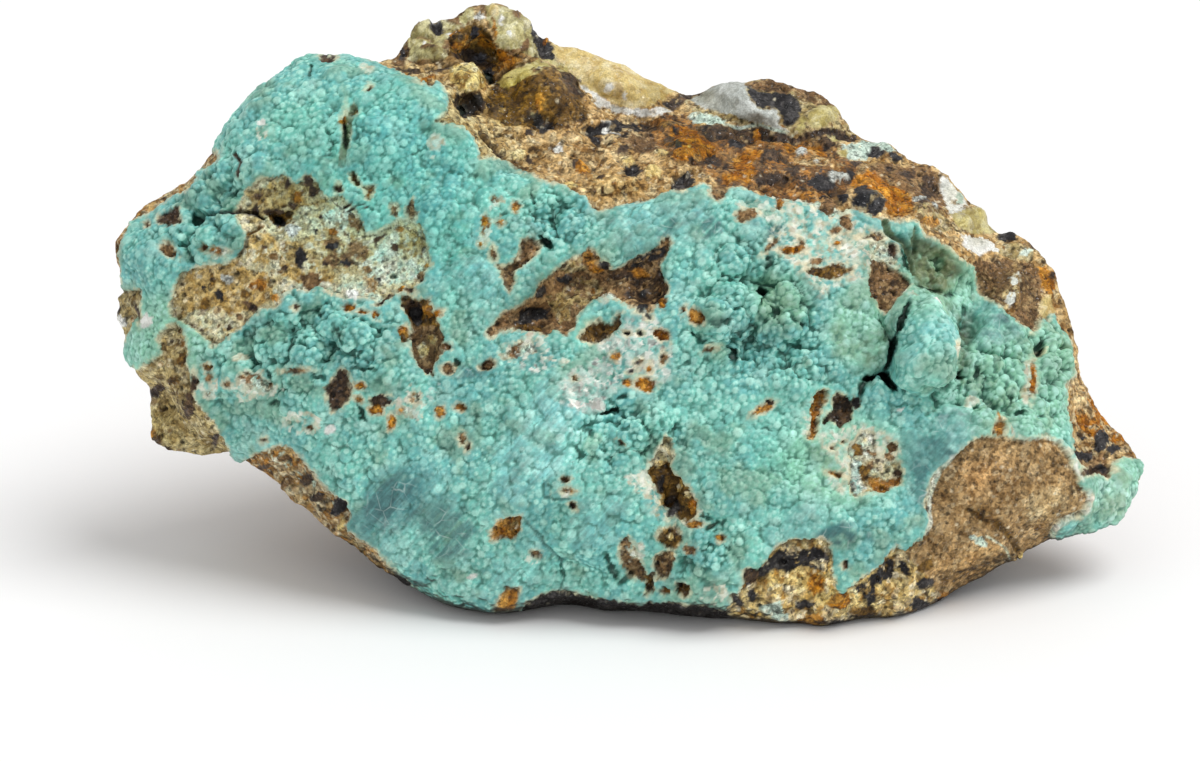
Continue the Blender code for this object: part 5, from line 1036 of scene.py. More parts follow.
class Skin:
    """The fine mesh as plain arrays: places in millimetres, normals, edges, triangles and drawn places."""

    def __init__(self, mesh):
        self.mesh = mesh
        self.read()
        self.edges = np.empty(len(mesh.edges) * 2, dtype=np.int64)
        mesh.edges.foreach_get("vertices", self.edges)
        self.edges = self.edges.reshape(-1, 2)
        mesh.calc_loop_triangles()
        self.triangles = np.empty(len(mesh.loop_triangles) * 3, dtype=np.int64)
        mesh.loop_triangles.foreach_get("vertices", self.triangles)
        self.triangles = self.triangles.reshape(-1, 3)
        self.across, self.down, self.depth = to_sheet(self.places)
        self.base_normals = self.normals.copy()
        self.facing = -(self.normals @ SIGHT)

    def read(self):
        """Takes the places and the normals from the mesh."""
        flat = np.empty(len(self.mesh.vertices) * 3)
        self.mesh.vertices.foreach_get("co", flat)
        self.places = flat.reshape(-1, 3)
        normals = np.empty(len(self.mesh.vertices) * 3)
        self.mesh.vertex_normals.foreach_get("vector", normals)
        self.normals = normals.reshape(-1, 3)

    def move(self, offsets):
        """Moves every place and works the normals out again."""
        self.mesh.vertices.foreach_set("co", (self.places + offsets).ravel())
        self.mesh.update()
        self.read()

    def averaged(self, values, rounds):
        """Values evened out along the edges."""
        first, second = self.edges[:, 0], self.edges[:, 1]
        count = np.bincount(first, minlength=len(values)) + np.bincount(second, minlength=len(values))
        result = values.copy()
        for _ in range(rounds):
            for column in range(result.shape[1]):
                own = result[:, column]
                total = np.bincount(first, own[second], len(own)) + np.bincount(second, own[first], len(own))
                result[:, column] = total / count
        return result

    def cavity(self, rounds):
        """How deep each place lies below its surroundings, in millimetres; negative on a top."""
        return ((self.averaged(self.places, rounds) - self.places) * self.normals).sum(1)


def first_skin():
    """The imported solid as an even, slightly rounded mesh in millimetres, finer where it faces the camera."""
    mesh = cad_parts[NODE].data.copy()
    mesh.transform(Matrix.Scale(1 / MM, 4))
    stone = bpy.data.objects.new("skin", mesh)
    bpy.context.scene.collection.objects.link(stone)
    remesh = stone.modifiers.new("even mesh", "REMESH")
    remesh.mode = "VOXEL"
    remesh.voxel_size = SKIN_SIZE
    rounding = stone.modifiers.new("rounding", "SMOOTH")
    rounding.iterations = SKIN_ROUNDING
    finer = stone.modifiers.new("finer", "SUBSURF")
    finer.levels = finer.render_levels = 1
    graph = bpy.context.evaluated_depsgraph_get()
    even = bpy.data.meshes.new_from_object(stone.evaluated_get(graph), depsgraph=graph)
    bpy.data.objects.remove(stone)
    work = bmesh.new()
    work.from_mesh(even)
    toward = Vector(-SIGHT)
    edges = {edge for face in work.faces if face.normal.dot(toward) > FINE_FACING for edge in face.edges}
    bmesh.ops.subdivide_edges(work, edges=list(edges), cuts=1, use_grid_fill=True)
    work.to_mesh(even)
    work.free()
    even.update()
    return Skin(even)


def is_clear(place, gap, home, kept):
    """Whether no kept place is nearer to this one than the mean of both their gaps."""
    x, y, z = place
    for step in product((-1, 0, 1), repeat=3):
        for u, v, w, other in kept.get((home[0] + step[0], home[1] + step[1], home[2] + step[2]), ()):
            least = (other + gap) * 0.5
            if (x - u) ** 2 + (y - v) ** 2 + (z - w) ** 2 < least * least:
                return False
    return True


def scattered(places, spacing, salt):
    """Which of the places to keep so that no two are nearer than their spacing, in a repeatable order."""
    order = np.random.default_rng(salt).permutation(len(places))
    widest = float(spacing.max())
    kept = {}
    chosen = []
    rows = places.tolist()
    gaps = spacing.tolist()
    for i in order.tolist():
        home = tuple(int(value // widest) for value in rows[i])
        if is_clear(rows[i], gaps[i], home, kept):
            kept.setdefault(home, []).append((*rows[i], gaps[i]))
            chosen.append(i)
    return np.array(chosen)


def domes(places, seeds, radii, nearest=6):
    """The height of overlapping round caps over scattered seeds, how clearly one stands out, and which.

    Heights are in millimetres, 0 on a cap of the usual overlap's rim.
    """
    tree = kdtree.KDTree(len(seeds))
    for i, seed in enumerate(seeds.tolist()):
        tree.insert(seed, i)
    tree.balance()
    index = np.empty((len(places), nearest), dtype=np.int64)
    distance = np.empty((len(places), nearest))
    for row, place in enumerate(places.tolist()):
        found = tree.find_n(place, nearest)
        index[row] = [hit[1] for hit in found]
        distance[row] = [hit[2] for hit in found]
    radius = radii[index]
    inside = radius**2 - distance**2
    height = np.where(inside > 0, np.sqrt(np.maximum(inside, 0)), -(distance - radius) * 0.8) - 0.45 * radius
    order = np.argsort(-height, axis=1)
    best = np.take_along_axis(height, order[:, :1], 1)[:, 0]
    second = np.take_along_axis(height, order[:, 1:2], 1)[:, 0]
    owner = np.take_along_axis(index, order[:, :1], 1)[:, 0]
    return best, best - second, owner


class Grain:
    """The stone's grains and how the drawn outlines follow them."""

    def __init__(self, skin):
        places = skin.places - np.outer(skin.places @ SIGHT, SIGHT) * (1 - SIGHT_SQUEEZE)
        bent = places + np.stack([layered_noise(places, 0.9, salt, 2) for salt in (51, 52, 53)], 1) * 0.16
        _, _, self.number, way = cells(bent, GRAIN_SIZE, 61)
        seeds = skin.places - (way * GRAIN_SIZE) @ TWIST.T * 0.5
        seeds += np.stack([layered_noise(places, 1.5, salt, 3) for salt in (1, 2, 3)], 1) * 0.24
        self.across, self.down, _ = to_sheet(seeds)
        coarse_first, coarse_second, self.coarse, _ = cells(bent + (bent - places) * 0.6, COARSE_SIZE, 62)
        self.coarse_edge = coarse_second - coarse_first
        self.mottle = layered_noise(places, 1.1, 41, 3)
        self.fine = layered_noise(places, 0.34, 47, 2)
        self.speck_first, _, self.speck, _ = cells(bent, SPECK_SIZE, 63)
        self.bit_first, _, self.bit, _ = cells(bent + (bent - places) * 0.8, FRAGMENT_SIZE, 64)
        self.rough_facets = facets(bent, FACE_SIZE, 65)
        self.ragged = layered_noise(places, 0.9, 81, 3)

    def colour(self, kind, where=slice(None)):
        """The colour of one kind of stone at the places asked for."""
        rows = KINDS[kind][1]
        weights = np.array([row[0] for row in rows])
        shares = np.cumsum(weights) / weights.sum()
        tones = np.array([linear(row[1:]) for row in rows])
        own = tones[np.minimum(np.searchsorted(shares, self.number[where]), len(tones) - 1)]
        wide = tones[np.minimum(np.searchsorted(shares, self.coarse[where]), len(tones) - 1)]
        order = np.argsort(tones.sum(1))
        weights = weights[order]
        middles = (np.cumsum(weights) - 0.5 * weights) / weights.sum()
        drift = 0.5 + 0.62 * self.mottle[where]
        soft = np.stack([np.interp(drift, middles, tones[order, channel]) for channel in range(3)], 1)
        if kind in TRAITS["crisp"]:
            return own * 0.48 + wide * 0.30 + soft * 0.22
        return own * 0.36 + wide * 0.26 + soft * 0.38

    def fragments(self, colour, amount):
        """Colours with small broken fragments in pale rings laid over them."""
        wide = 0.10 + 0.26 * ((self.bit * 31.0) % 1.0) ** 1.5
        out = self.bit_first / wide
        there = amount * eased((0.72 - self.bit) / 0.04)
        tones = np.array([linear(tone) for tone in FRAGMENTS])
        own = tones[((self.bit * 57.0) % 1.0 * len(tones)).astype(int)] * (1 + 0.5 * self.mottle)[:, None]
        ring = np.exp(-(((self.bit_first - wide) * 1.25 - 0.07) / 0.09) ** 2)
        colour = blended(colour, linear(RIM)[None, :], ring * there * 0.55)
        return blended(colour, own, eased((1.1 - out) / 0.3) * there * 0.9)


def soft_top(best, lead, width):
    """The height of overlapping caps with the crease between two of them filled softly."""
    return best + np.maximum(width - lead, 0) ** 2 / (4 * width)


def caps(skin, where, salt, gaps, radii, share, width, nearest=6):
    """Soft round caps over part of the skin: their height, each place's lead and its cap's number."""
    draw = np.random.default_rng(salt)
    pick = where[draw.random(len(where)) < share]
    pick = pick[scattered(skin.places[pick], gaps[pick], salt + 1)]
    best, lead, owner = domes(skin.places[where], skin.places[pick], radii[pick], nearest)
    height = np.zeros(len(skin.places))
    number = np.full(len(skin.places), 0.5)
    leads = np.ones(len(skin.places))
    height[where] = soft_top(best, lead, width)
    number[where] = hashed(pick[owner], pick[owner], pick[owner], salt + 2)
    leads[where] = lead
    return height, leads, number


def stone_relief(skin, grain, across, down, front, calm, flat):
    """The height of the bare stone's broken grain, in millimetres."""
    places = skin.places
    keen = (1 - 0.75 * calm) * (1 - 0.8 * flat) * (0.45 + 0.55 * np.clip(skin.facing / 0.6, 0, 1))
    rise = BLOCK_HEIGHT * facets(places, BLOCK_SIZE, 24) * keen
    rise += ROUGH_HEIGHT * layered_noise(places, ROUGH_SIZE, 25, 2) * keen
    rise += CHIP_HEIGHT * facets(places, CHIP_SIZE, 21) * (1 - 0.5 * flat) * (0.3 + 0.7 * keen)
    steps = 0.06 * grain.rough_facets + 0.08 * (grain.coarse - 0.5) + 0.07 * (grain.number - 0.5)
    rise += steps * (1 - 0.6 * flat) * (1 - 0.6 * calm) * (0.3 + 0.7 * np.clip(skin.facing / 0.8, 0, 1))
    rise -= 0.07 * eased((0.10 - grain.coarse_edge) / 0.10) * keen
    rise -= 0.26 * eased((0.14 - grain.speck) / 0.04) * eased((0.50 - grain.speck_first) / 0.25) * keen
    rise += 0.09 * grain.mottle + 0.015 * grain.fine
    for kind, spots in SPOTS:
        for spot in spots:
            near, out = around(across, down, spot, 1.4)
            level = 0.22 if kind in BARE and min(spot[2:4]) < 0.75 else 0.0
            rise[near] += (KINDS[kind][0] + level) * eased(1.4 - out) * front[near]
    return rise


def drawn_relief(skin, front):
    """The height of the drawn bumps, hollows, steep forms and cut lines, in millimetres."""
    rise = np.zeros(len(skin.places))
    wander = 0.25 * layered_noise(skin.places, 1.6, 8, 2)
    across, down = skin.across + wander, skin.down - wander
    for spot in RELIEF:
        near, out = around(across, down, spot, 1.3)
        rise[near] += spot[5] * eased(1.3 - out)
    for height, slope, outline in FORMS:
        rise += height * eased(depth_inside(across, down, outline) / slope)
    for _, half, depth, points in LINES:
        rise -= depth * eased(1.5 - line_distance(across, down, points) / half)
    return rise * front


def sculpted(skin):
    """Gives the skin its relief, and returns what the colours need to know about it."""
    places = skin.places.copy()
    index = np.arange(len(places))
    grain = Grain(skin)
    across, down = grain.across, grain.down
    front = eased((skin.facing + 0.22) / 0.3)
    calm = depth_inside(skin.across, skin.down, WINDOW)
    for kind, _, outline in AREAS:
        if kind in ("cream", "grey", "lime"):
            calm = np.maximum(calm, depth_inside(skin.across, skin.down, outline))
    calm = eased(calm + 0.5) * front
    flat = eased(depth_inside(skin.across, skin.down, PLATE) + 0.5) * front

    bare = np.full(len(places), FAR_OUTSIDE)
    for kind, _, outline in AREAS:
        if kind in BARE:
            bare = np.maximum(bare, depth_inside(across, down, outline))
    for kind, spots in SPOTS:
        if kind in BARE:
            for spot in spots:
                size = min(spot[2], spot[3])
                near, out = around(across, down, spot, 1 + 1.2 / size)
                bare[near] = np.maximum(bare[near], (1 - out - 0.35 * grain.ragged[near]) * size)
    toward = skin.averaged(skin.facing[:, None], 40)[:, 0]
    hidden = (toward + 0.10 + 0.16 * layered_noise(places, 4.0, 5, 2)) * 4.0
    bare = np.where(toward > 0.25, bare, np.maximum(bare, -hidden))
    crust = eased(-bare / 0.3 + 0.35)
    full = eased(-bare / 0.7 - 0.1)

    lumpy = spot_share(skin.across, skin.down, LUMPY_SPOTS)
    lumpy = eased(lumpy * 1.2 + 0.5 * layered_noise(places, 3.4, 10, 2) - 0.15)
    glassy = spot_share(skin.across, skin.down, GLASSY_SPOTS)
    glassy = eased(glassy * 1.5 + 0.8 * layered_noise(places, 1.8, 9, 3) - 0.45)

    smooth = spot_share(skin.across, skin.down, SMOOTH_SPOTS)
    smooth = eased(smooth * 1.3 + 0.6 * layered_noise(places, 2.2, 11, 2) - 0.25)

    # lumps of the crust, then the gaps between them
    mild = np.flatnonzero(crust > 0.05)
    turn = hashed(index, index, index, 4)
    swell = SWELL_HEIGHT * layered_noise(places, SWELL_SIZE, 31, 2)
    wide, lead, _ = caps(
        skin, mild, 5, gaps=2.2 + 1.6 * turn, radii=1.6 + 0.9 * turn, share=0.10, width=0.4)
    form = sum(np.maximum(depth_inside(skin.across, skin.down, steep[2]) + 0.3, 0) for steep in FORMS)
    form = eased(form / 0.8)
    wide = ((wide - 0.3) * (0.12 + 0.48 * lumpy) - 0.18 * lumpy * np.exp(-lead / 0.12)) * (1 - 0.9 * form)
    middle, _, _ = caps(
        skin, mild, 15, gaps=0.95 + 0.9 * turn, radii=0.72 + 0.52 * turn, share=0.2, width=0.18)
    middle = (middle - 0.1) * (0.26 + 0.30 * lumpy) * (1 - 0.6 * glassy)
    gap_depth = np.zeros(len(places))
    wander = 0.20 * layered_noise(places, 0.9, 7, 2)
    for spot in GAPS:
        near, out = around(skin.across + wander, skin.down - wander, spot, 1.5)
        gap_depth[near] = np.maximum(gap_depth[near], spot[5] * eased((1.5 - out) / 0.9))
    gap_depth *= front

    rise = stone_relief(skin, grain, across, down, front, calm, flat) * (1 - crust)
    rise += CRUST_HEIGHT * crust
    rise += (swell + (wide + middle) * full) * crust + drawn_relief(skin, front)
    steady = eased((places[:, 2] - FOOT_HEIGHT) / FOOT_RISE)
    skin.move(skin.base_normals * (rise * steady)[:, None] + SIGHT * (gap_depth * GAP_SHARE)[:, None])

    # the round grains
    roomy = np.flatnonzero(crust > 0.3)
    turn = hashed(index, index, index, 12)
    size = 0.32 + 0.62 * turn**2.0 + 0.08 * lumpy
    bead, _, number = caps(
        skin, roomy, 25, gaps=size, radii=size * 0.64, share=0.6, width=0.13, nearest=7)
    patch = np.clip(0.55 + 1.0 * layered_noise(places, 1.8, 35, 2) + 0.3 * form, 0.08, 1.0)
    amount = full * (0.35 * patch + 0.30 * lumpy + 0.07) * (1 - 0.8 * glassy) * (1 - 0.5 * smooth)
    fine = 0.045 * smooth_noise(places, 0.30, 33) * crust + 0.015 * grain.fine * (1 - crust)
    steady = eased((skin.places[:, 2] - FOOT_HEIGHT) / FOOT_RISE)
    skin.move(skin.normals * (((bead + 0.16 * (number - 0.5)) * amount + fine) * steady)[:, None])
    flat_foot = skin.places.copy()
    flat_foot[:, 2] = np.maximum(flat_foot[:, 2], 0.0)
    skin.move(flat_foot - skin.places)
    return {
        "grain": grain, "bare": bare, "crust": crust, "full": full, "front": front, "glassy": glassy,
        "gap": gap_depth, "bead": bead, "number": number, "start": places, "calm": calm, "flat": flat,
        "smooth": smooth,
    }


def crust_colour(skin, facts, fine_cavity, wide_cavity):
    """The colour of the crust at every place."""
    grain, places, front = facts["grain"], facts["start"], facts["front"]
    broad = layered_noise(places, 3.2, 42, 2)
    brushed = eased((78 - skin.across) / 8)
    thin, thick = streaks(skin, CRUST_STREAKS, 3.0, 0.3, 71), streaks(skin, CRUST_STREAKS, 5.0, 0.9, 74)
    streak = (0.6 * thin + 0.6 * thick) * brushed
    level = np.clip(0.5 + facts["bead"] / 0.30, 0, 1)
    tint = np.clip(0.5 + 0.9 * broad + 0.7 * (facts["number"] - 0.5), 0, 1)
    tone = blended(linear(CRUST_BLUE)[None, :], linear(CRUST_MIDDLE)[None, :], tint)
    green = eased(spot_share(skin.across, skin.down, GREEN_SPOTS) * 1.2) * 0.8
    tone = blended(tone, linear(CRUST_GREEN)[None, :], green)
    # painted highlight: the round grains' tops lighter, more on some grains than others
    top_highlight = eased((level - 0.38) / 0.6) * (0.10 + 0.80 * facts["number"]) * (0.3 + 0.7 * facts["full"])
    tone = blended(tone, linear(CRUST_TOP_HIGHLIGHT)[None, :], top_highlight)
    pale = eased((layered_noise(places, 1.6, 48, 3) - 0.15) / 0.5) * 0.4
    tone = blended(tone, linear(CRUST_PALE)[None, :], pale)
    stain = eased((layered_noise(places, 2.4, 49, 3) - 0.10) / 0.5) * 0.42
    tone = blended(tone, linear(CRUST_STAIN)[None, :], stain)
    blotch = layered_noise(places, 1.5, 93, 2) * (1 - brushed)
    dull = facts["glassy"] * eased(0.55 + 1.3 * streak + 1.4 * blotch + 0.6 * grain.mottle)
    tone = blended(tone, linear(GLASSY)[None, :], dull * 0.82)
    tone = blended(tone, linear(CRUST_SMOOTH)[None, :], facts["smooth"] * (1 - facts["glassy"]) * 0.35)
    fibre = streaks(skin, CRUST_STREAKS, 1.8, 0.22, 75) * brushed
    swing = 0.18 * grain.fine + 0.14 * grain.mottle + 0.10 * streak + 0.12 * layered_noise(places, 5.0, 91, 2)
    swing += (0.20 * streak + 0.30 * fibre) * np.maximum(facts["smooth"], facts["glassy"])
    tone = tone * (1 + swing)[:, None]
    # painted shade in the crust's creases, and more widely in its hollows
    tone = blended(tone, linear(CRUST_CREASE_SHADE)[None, :], eased((fine_cavity - 0.004) / 0.06) * 0.65)
    tone = blended(tone, linear(HOLLOW_SHADE)[None, :], eased((wide_cavity - 0.06) / 0.34) * 0.7)
    for kind, strength, outline in AREAS:
        if kind not in BARE:
            soft = 1.4 if kind in ("olive", "teal") else 0.5
            share = eased(depth_inside(grain.across, grain.down, outline) / soft + 0.5) * front
            if kind == "olive":
                share *= strength * eased(0.7 + 0.8 * grain.mottle)
            elif kind == "teal":
                share *= strength * eased(0.55 + 1.3 * streak + 0.5 * fibre + 0.5 * grain.mottle)
            else:
                broken = strength - 0.30 + 0.9 * grain.mottle + 1.5 * (grain.number - 0.5)
                share *= eased(broken + 0.5 * grain.fine)
            reached = np.flatnonzero(share > 0)
            tone[reached] = blended(tone[reached], grain.colour(kind, reached), share[reached])
    return tone


def painted(skin, facts):
    """The colour of every place, and how rough, how glassy, how crusted and how gritty it is."""
    grain, places = facts["grain"], facts["start"]
    across, down = grain.across, grain.down
    near, crust, front = facts["bare"], facts["crust"], facts["front"]
    fine_cavity = skin.cavity(4)
    wide_cavity = skin.cavity(30)

    # broken stone where no drawing reaches
    hills = layered_noise(places, 9.0, 44, 3)
    patches = layered_noise(places, 6.0, 45, 3)
    colour = grain.colour("brown")
    for kind, share in (
        ("slope", eased((hills + 0.1) / 0.35)),
        ("khaki", eased((hills - 0.30) / 0.3) * 0.7),
        ("rusty", eased((patches - 0.06) / 0.3) * 0.8),
        ("rust", eased((patches - 0.46) / 0.2) * 0.5),
        ("dark", eased((-patches - 0.24) / 0.25) * 0.8),
        ("cream", eased((hills - 0.60) / 0.2) * 0.6),
        ("dark", eased((layered_noise(places, 1.6, 46, 2) - 0.45) / 0.15) * 0.8),
    ):
        colour = blended(colour, grain.colour(kind), share)

    # what the front shows
    traits = {name: np.zeros(len(places)) for name in TRAITS}
    spread = 0.5 + 0.5 * grain.mottle + 0.6 * (grain.coarse - 0.5) + 0.4 * (grain.number - 0.5)
    spread = np.clip(spread, 0, 0.9)
    for kind, strength, outline in AREAS:
        if kind in ("olive", "teal"):
            continue
        share = eased(depth_inside(across, down, outline) / 0.2 + 0.5)
        share = share * eased((strength - spread) / 0.2 + 0.5) * front
        reached = np.flatnonzero(share > 0)
        colour[reached] = blended(colour[reached], grain.colour(kind, reached), share[reached])
        for name, kinds in TRAITS.items():
            traits[name][reached] += ((kind in kinds) - traits[name][reached]) * share[reached]
    even = traits["even"]
    colour = grain.fragments(colour, traits["busy"])
    # dark specks where small pits are cut into the stone: painted shade, reaching a little past the pits
    speck = eased((0.20 + 0.12 * traits["busy"] - grain.speck) / 0.03)
    speck = speck * eased((0.36 - grain.speck_first) / 0.16)
    colour = blended(colour, colour * 0.22, speck * 0.85 * (1 - 0.85 * even))
    glint = eased((grain.speck - 0.86) / 0.03) * eased((0.34 - grain.speck_first) / 0.16)
    colour = blended(colour, colour * 0.4 + linear(GLINT) * 0.6, glint * 0.8)
    thin, thick = streaks(skin, PLATE_STREAKS, 2.4, 0.32, 72), streaks(skin, PLATE_STREAKS, 7.0, 1.4, 73)
    grained = thin * 0.5 + thick * 0.5
    colour = colour * (1 + 0.55 * grained * facts["flat"])[:, None]
    colour = blended(colour, crust_colour(skin, facts, fine_cavity, wide_cavity), crust)
    rim = np.exp(-((near + 0.10) ** 2) / 0.036) * front * eased(0.75 + 0.9 * grain.mottle + 0.4 * grain.fine)
    rim_tone = linear(RIM)[None, :] * (1 + 0.25 * grain.fine + 0.3 * (grain.number - 0.5))[:, None]
    colour = blended(colour, rim_tone, rim * 0.75)

    # spots and lines lie on both
    for kind, spots in SPOTS:
        for spot in spots:
            reached, out = around(across, down, spot, 1.6)
            size = min(spot[2], spot[3])
            share = eased((1 - out - 0.35 * grain.ragged[reached]) * size / 0.14 + 0.5) * front[reached]
            if kind not in BARE and size > 0.5:
                share *= eased(0.5 + 0.9 * grain.mottle[reached] + 1.3 * (grain.number[reached] - 0.5))
            colour[reached] = blended(colour[reached], grain.colour(kind, reached), share)
            traits["glossy"][reached] += ((kind in TRAITS["glossy"]) - traits["glossy"][reached]) * share
    wander = 0.10 * grain.mottle
    for kind, half, _, points in LINES:
        distance = line_distance(skin.across + wander, skin.down - wander, points)
        reached = np.flatnonzero(distance < half + 0.3)
        share = eased((half - distance[reached]) / 0.12 + 0.5) * front[reached]
        share *= eased(0.7 + 1.0 * grain.mottle[reached])
        colour[reached] = blended(colour[reached], grain.colour(kind, reached), share)

    # painted shade in what lies low: along the grooves between grains, in small and wide hollows, and nearly
    # black in the gaps
    stone = 1 - crust
    edge = eased((0.09 - grain.coarse_edge) / 0.09) * stone
    edge *= 0.40 * (1 - 0.7 * facts["calm"]) * (1 - 0.85 * even) * eased(0.6 + grain.mottle)
    low = eased((fine_cavity + 0.005) / 0.09) * 0.5 * stone * (1 - 0.6 * even)
    colour = blended(colour, colour * 0.28, np.maximum(edge, low))
    colour = blended(colour, colour * 0.34, eased((wide_cavity - 0.04) / 0.40) * 0.7 * stone)
    colour = blended(colour, linear(DEEP_GAP_SHADE)[None, :], eased(facts["gap"] / 1.5) * 0.92)
    # soft gains over named places: partly painted light and shade, partly the stone's own tone
    for gain, *spot in SHADE_AND_TONE_GAINS:
        reached, out = around(skin.across, skin.down, spot, 1.3)
        colour[reached] *= 1 + (np.array(gain) - 1) * (eased(1.3 - out) * front[reached])[:, None]
    # painted shade on faces that look down, near the floor
    under_shade = eased(-(skin.normals[:, 2] + 0.30) / 0.4) * eased((9.0 - skin.places[:, 2]) / 5.0)
    colour = blended(colour, linear(UNDERSIDE_SHADE)[None, :], under_shade * 0.9)
    rough = 0.48 + 0.30 * stone - 0.15 * facts["glassy"] * crust - 0.20 * even * stone
    rough -= 0.34 * traits["glossy"] * stone * eased(0.8 + grain.mottle)
    glassy = np.maximum(facts["glassy"], 0.5 * facts["smooth"]) * crust
    gritty = stone * (1 - 0.85 * even)
    return np.clip(colour, 0, 1), np.stack([np.clip(rough, 0.2, 0.95), glassy, crust, gritty], 1)


def surface_material():
    """The ore's surface: the painted colours with a finer grain, crackle and small sparkles."""
    material = bpy.data.materials.new("ore_surface")
    material.use_nodes = True
    nodes, links = material.node_tree.nodes, material.node_tree.links
    shader = nodes["Principled BSDF"]

    def attribute(name):
        node = nodes.new("ShaderNodeAttribute")
        node.attribute_name = name
        return node

    def math_node(operation, first, second, clamp=False):
        node = nodes.new("ShaderNodeMath")
        node.operation = operation
        node.use_clamp = clamp
        for socket, value in zip(node.inputs, (first, second)):
            if isinstance(value, float):
                socket.default_value = value
            else:
                links.new(value, socket)
        return node.outputs[0]

    def plus(first, second):
        return math_node("ADD", first, second)

    def minus(first, second, clamp=False):
        return math_node("SUBTRACT", first, second, clamp)

    def times(first, second, clamp=False):
        return math_node("MULTIPLY", first, second, clamp)

    def mix(kind, factor, first, second):
        node = nodes.new("ShaderNodeMix")
        node.data_type = "RGBA"
        node.blend_type = kind
        for socket, value in ((node.inputs[0], factor), (node.inputs[6], first), (node.inputs[7], second)):
            if isinstance(value, (float, tuple)):
                socket.default_value = value
            else:
                links.new(value, socket)
        return node.outputs[2]

    place = nodes.new("ShaderNodeTexCoord").outputs["Object"]

    def noise(scale, detail):
        node = nodes.new("ShaderNodeTexNoise")
        node.inputs["Scale"].default_value = scale
        node.inputs["Detail"].default_value = detail
        links.new(place, node.inputs["Vector"])
        return node.outputs["Fac"]

    tone = attribute("tone").outputs["Color"]
    finish = attribute("finish")
    parts = nodes.new("ShaderNodeSeparateColor")
    links.new(finish.outputs["Color"], parts.inputs[0])
    rough, glassy, crust = parts.outputs
    gritty = finish.outputs["Alpha"]

    # a finer grain than the mesh holds, stronger on the bare stone
    fine = noise(FINE_SCALE, 3.0)
    speck = noise(SPECK_SCALE, 2.0)
    stone = minus(1.0, crust)
    swing = times(minus(fine, 0.5), plus(times(stone, 0.8), 0.45))
    swing = plus(swing, times(minus(speck, 0.5), 0.5))
    crystals = nodes.new("ShaderNodeTexVoronoi")
    crystals.inputs["Scale"].default_value = CRYSTAL_SCALE
    links.new(place, crystals.inputs["Vector"])
    shade = nodes.new("ShaderNodeSeparateColor")
    links.new(crystals.outputs["Color"], shade.inputs[0])
    swing = plus(swing, times(minus(shade.outputs[0], 0.46), times(gritty, 0.8)))

    # thin streaks across the glassy crust, along one direction of the sheet
    turn = math.radians(CRUST_STREAKS)
    stretched = nodes.new("ShaderNodeCombineXYZ")
    for socket, right, up, scale in (
        (stretched.inputs[0], math.cos(turn), math.sin(turn), HATCH_SCALE[0]),
        (stretched.inputs[1], -math.sin(turn), math.cos(turn), HATCH_SCALE[1]),
    ):
        along = nodes.new("ShaderNodeVectorMath")
        along.operation = "DOT_PRODUCT"
        links.new(place, along.inputs[0])
        along.inputs[1].default_value = (right, up * math.sin(ELEVATION), up * math.cos(ELEVATION))
        links.new(times(along.outputs["Value"], scale), socket)
    hatch = nodes.new("ShaderNodeTexNoise")
    hatch.inputs["Scale"].default_value = 1.0
    hatch.inputs["Detail"].default_value = 1.0
    links.new(stretched.outputs[0], hatch.inputs["Vector"])
    swing = plus(swing, times(minus(hatch.outputs["Fac"], 0.5), times(glassy, 0.8)))

    # dark specks between the crystals of the bare stone
    pit = times(minus(0.41, noise(PIT_SCALE, 2.0)), 14.0, clamp=True)
    pit = minus(1.0, times(times(pit, gritty), 0.6))
    gain = times(plus(1.0, swing), pit)
    grey = nodes.new("ShaderNodeCombineColor")
    for socket in grey.inputs:
        links.new(gain, socket)
    base = mix("MULTIPLY", 1.0, tone, grey.outputs[0])

    # pale crackle lines in the glassy crust, fading in and out
    crackle = nodes.new("ShaderNodeTexVoronoi")
    crackle.feature = "DISTANCE_TO_EDGE"
    crackle.inputs["Scale"].default_value = CRACKLE_SCALE
    links.new(place, crackle.inputs["Vector"])
    line = minus(1.0, times(crackle.outputs["Distance"], 22.0), clamp=True)
    fading = times(minus(noise(FADING_SCALE, 1.0), 0.40), 3.0, clamp=True)
    glassiest = times(minus(glassy, 0.5), 2.0, clamp=True)
    line = times(times(line, glassiest), times(fading, 0.5))
    base = mix("MIX", line, base, CRACKLE)
    links.new(base, shader.inputs["Base Color"])

    # tiny sparkling faces on the bare stone
    spark = times(math_node("GREATER_THAN", noise(SPARK_SCALE, 0.0), 0.70), stone)
    links.new(minus(rough, times(spark, 0.45)), shader.inputs["Roughness"])
    shine = plus(times(crust, 0.16), 0.24)
    links.new(plus(shine, times(spark, 0.4)), shader.inputs["Specular IOR Level"])
    shader.inputs["Metallic"].default_value = 0.0

    bump = nodes.new("ShaderNodeBump")
    bump.inputs["Strength"].default_value = BUMP_STRENGTH
    bump.inputs["Distance"].default_value = BUMP_HEIGHT
    links.new(times(fine, plus(stone, 0.25)), bump.inputs["Height"])
    links.new(bump.outputs["Normal"], shader.inputs["Normal"])
    return material


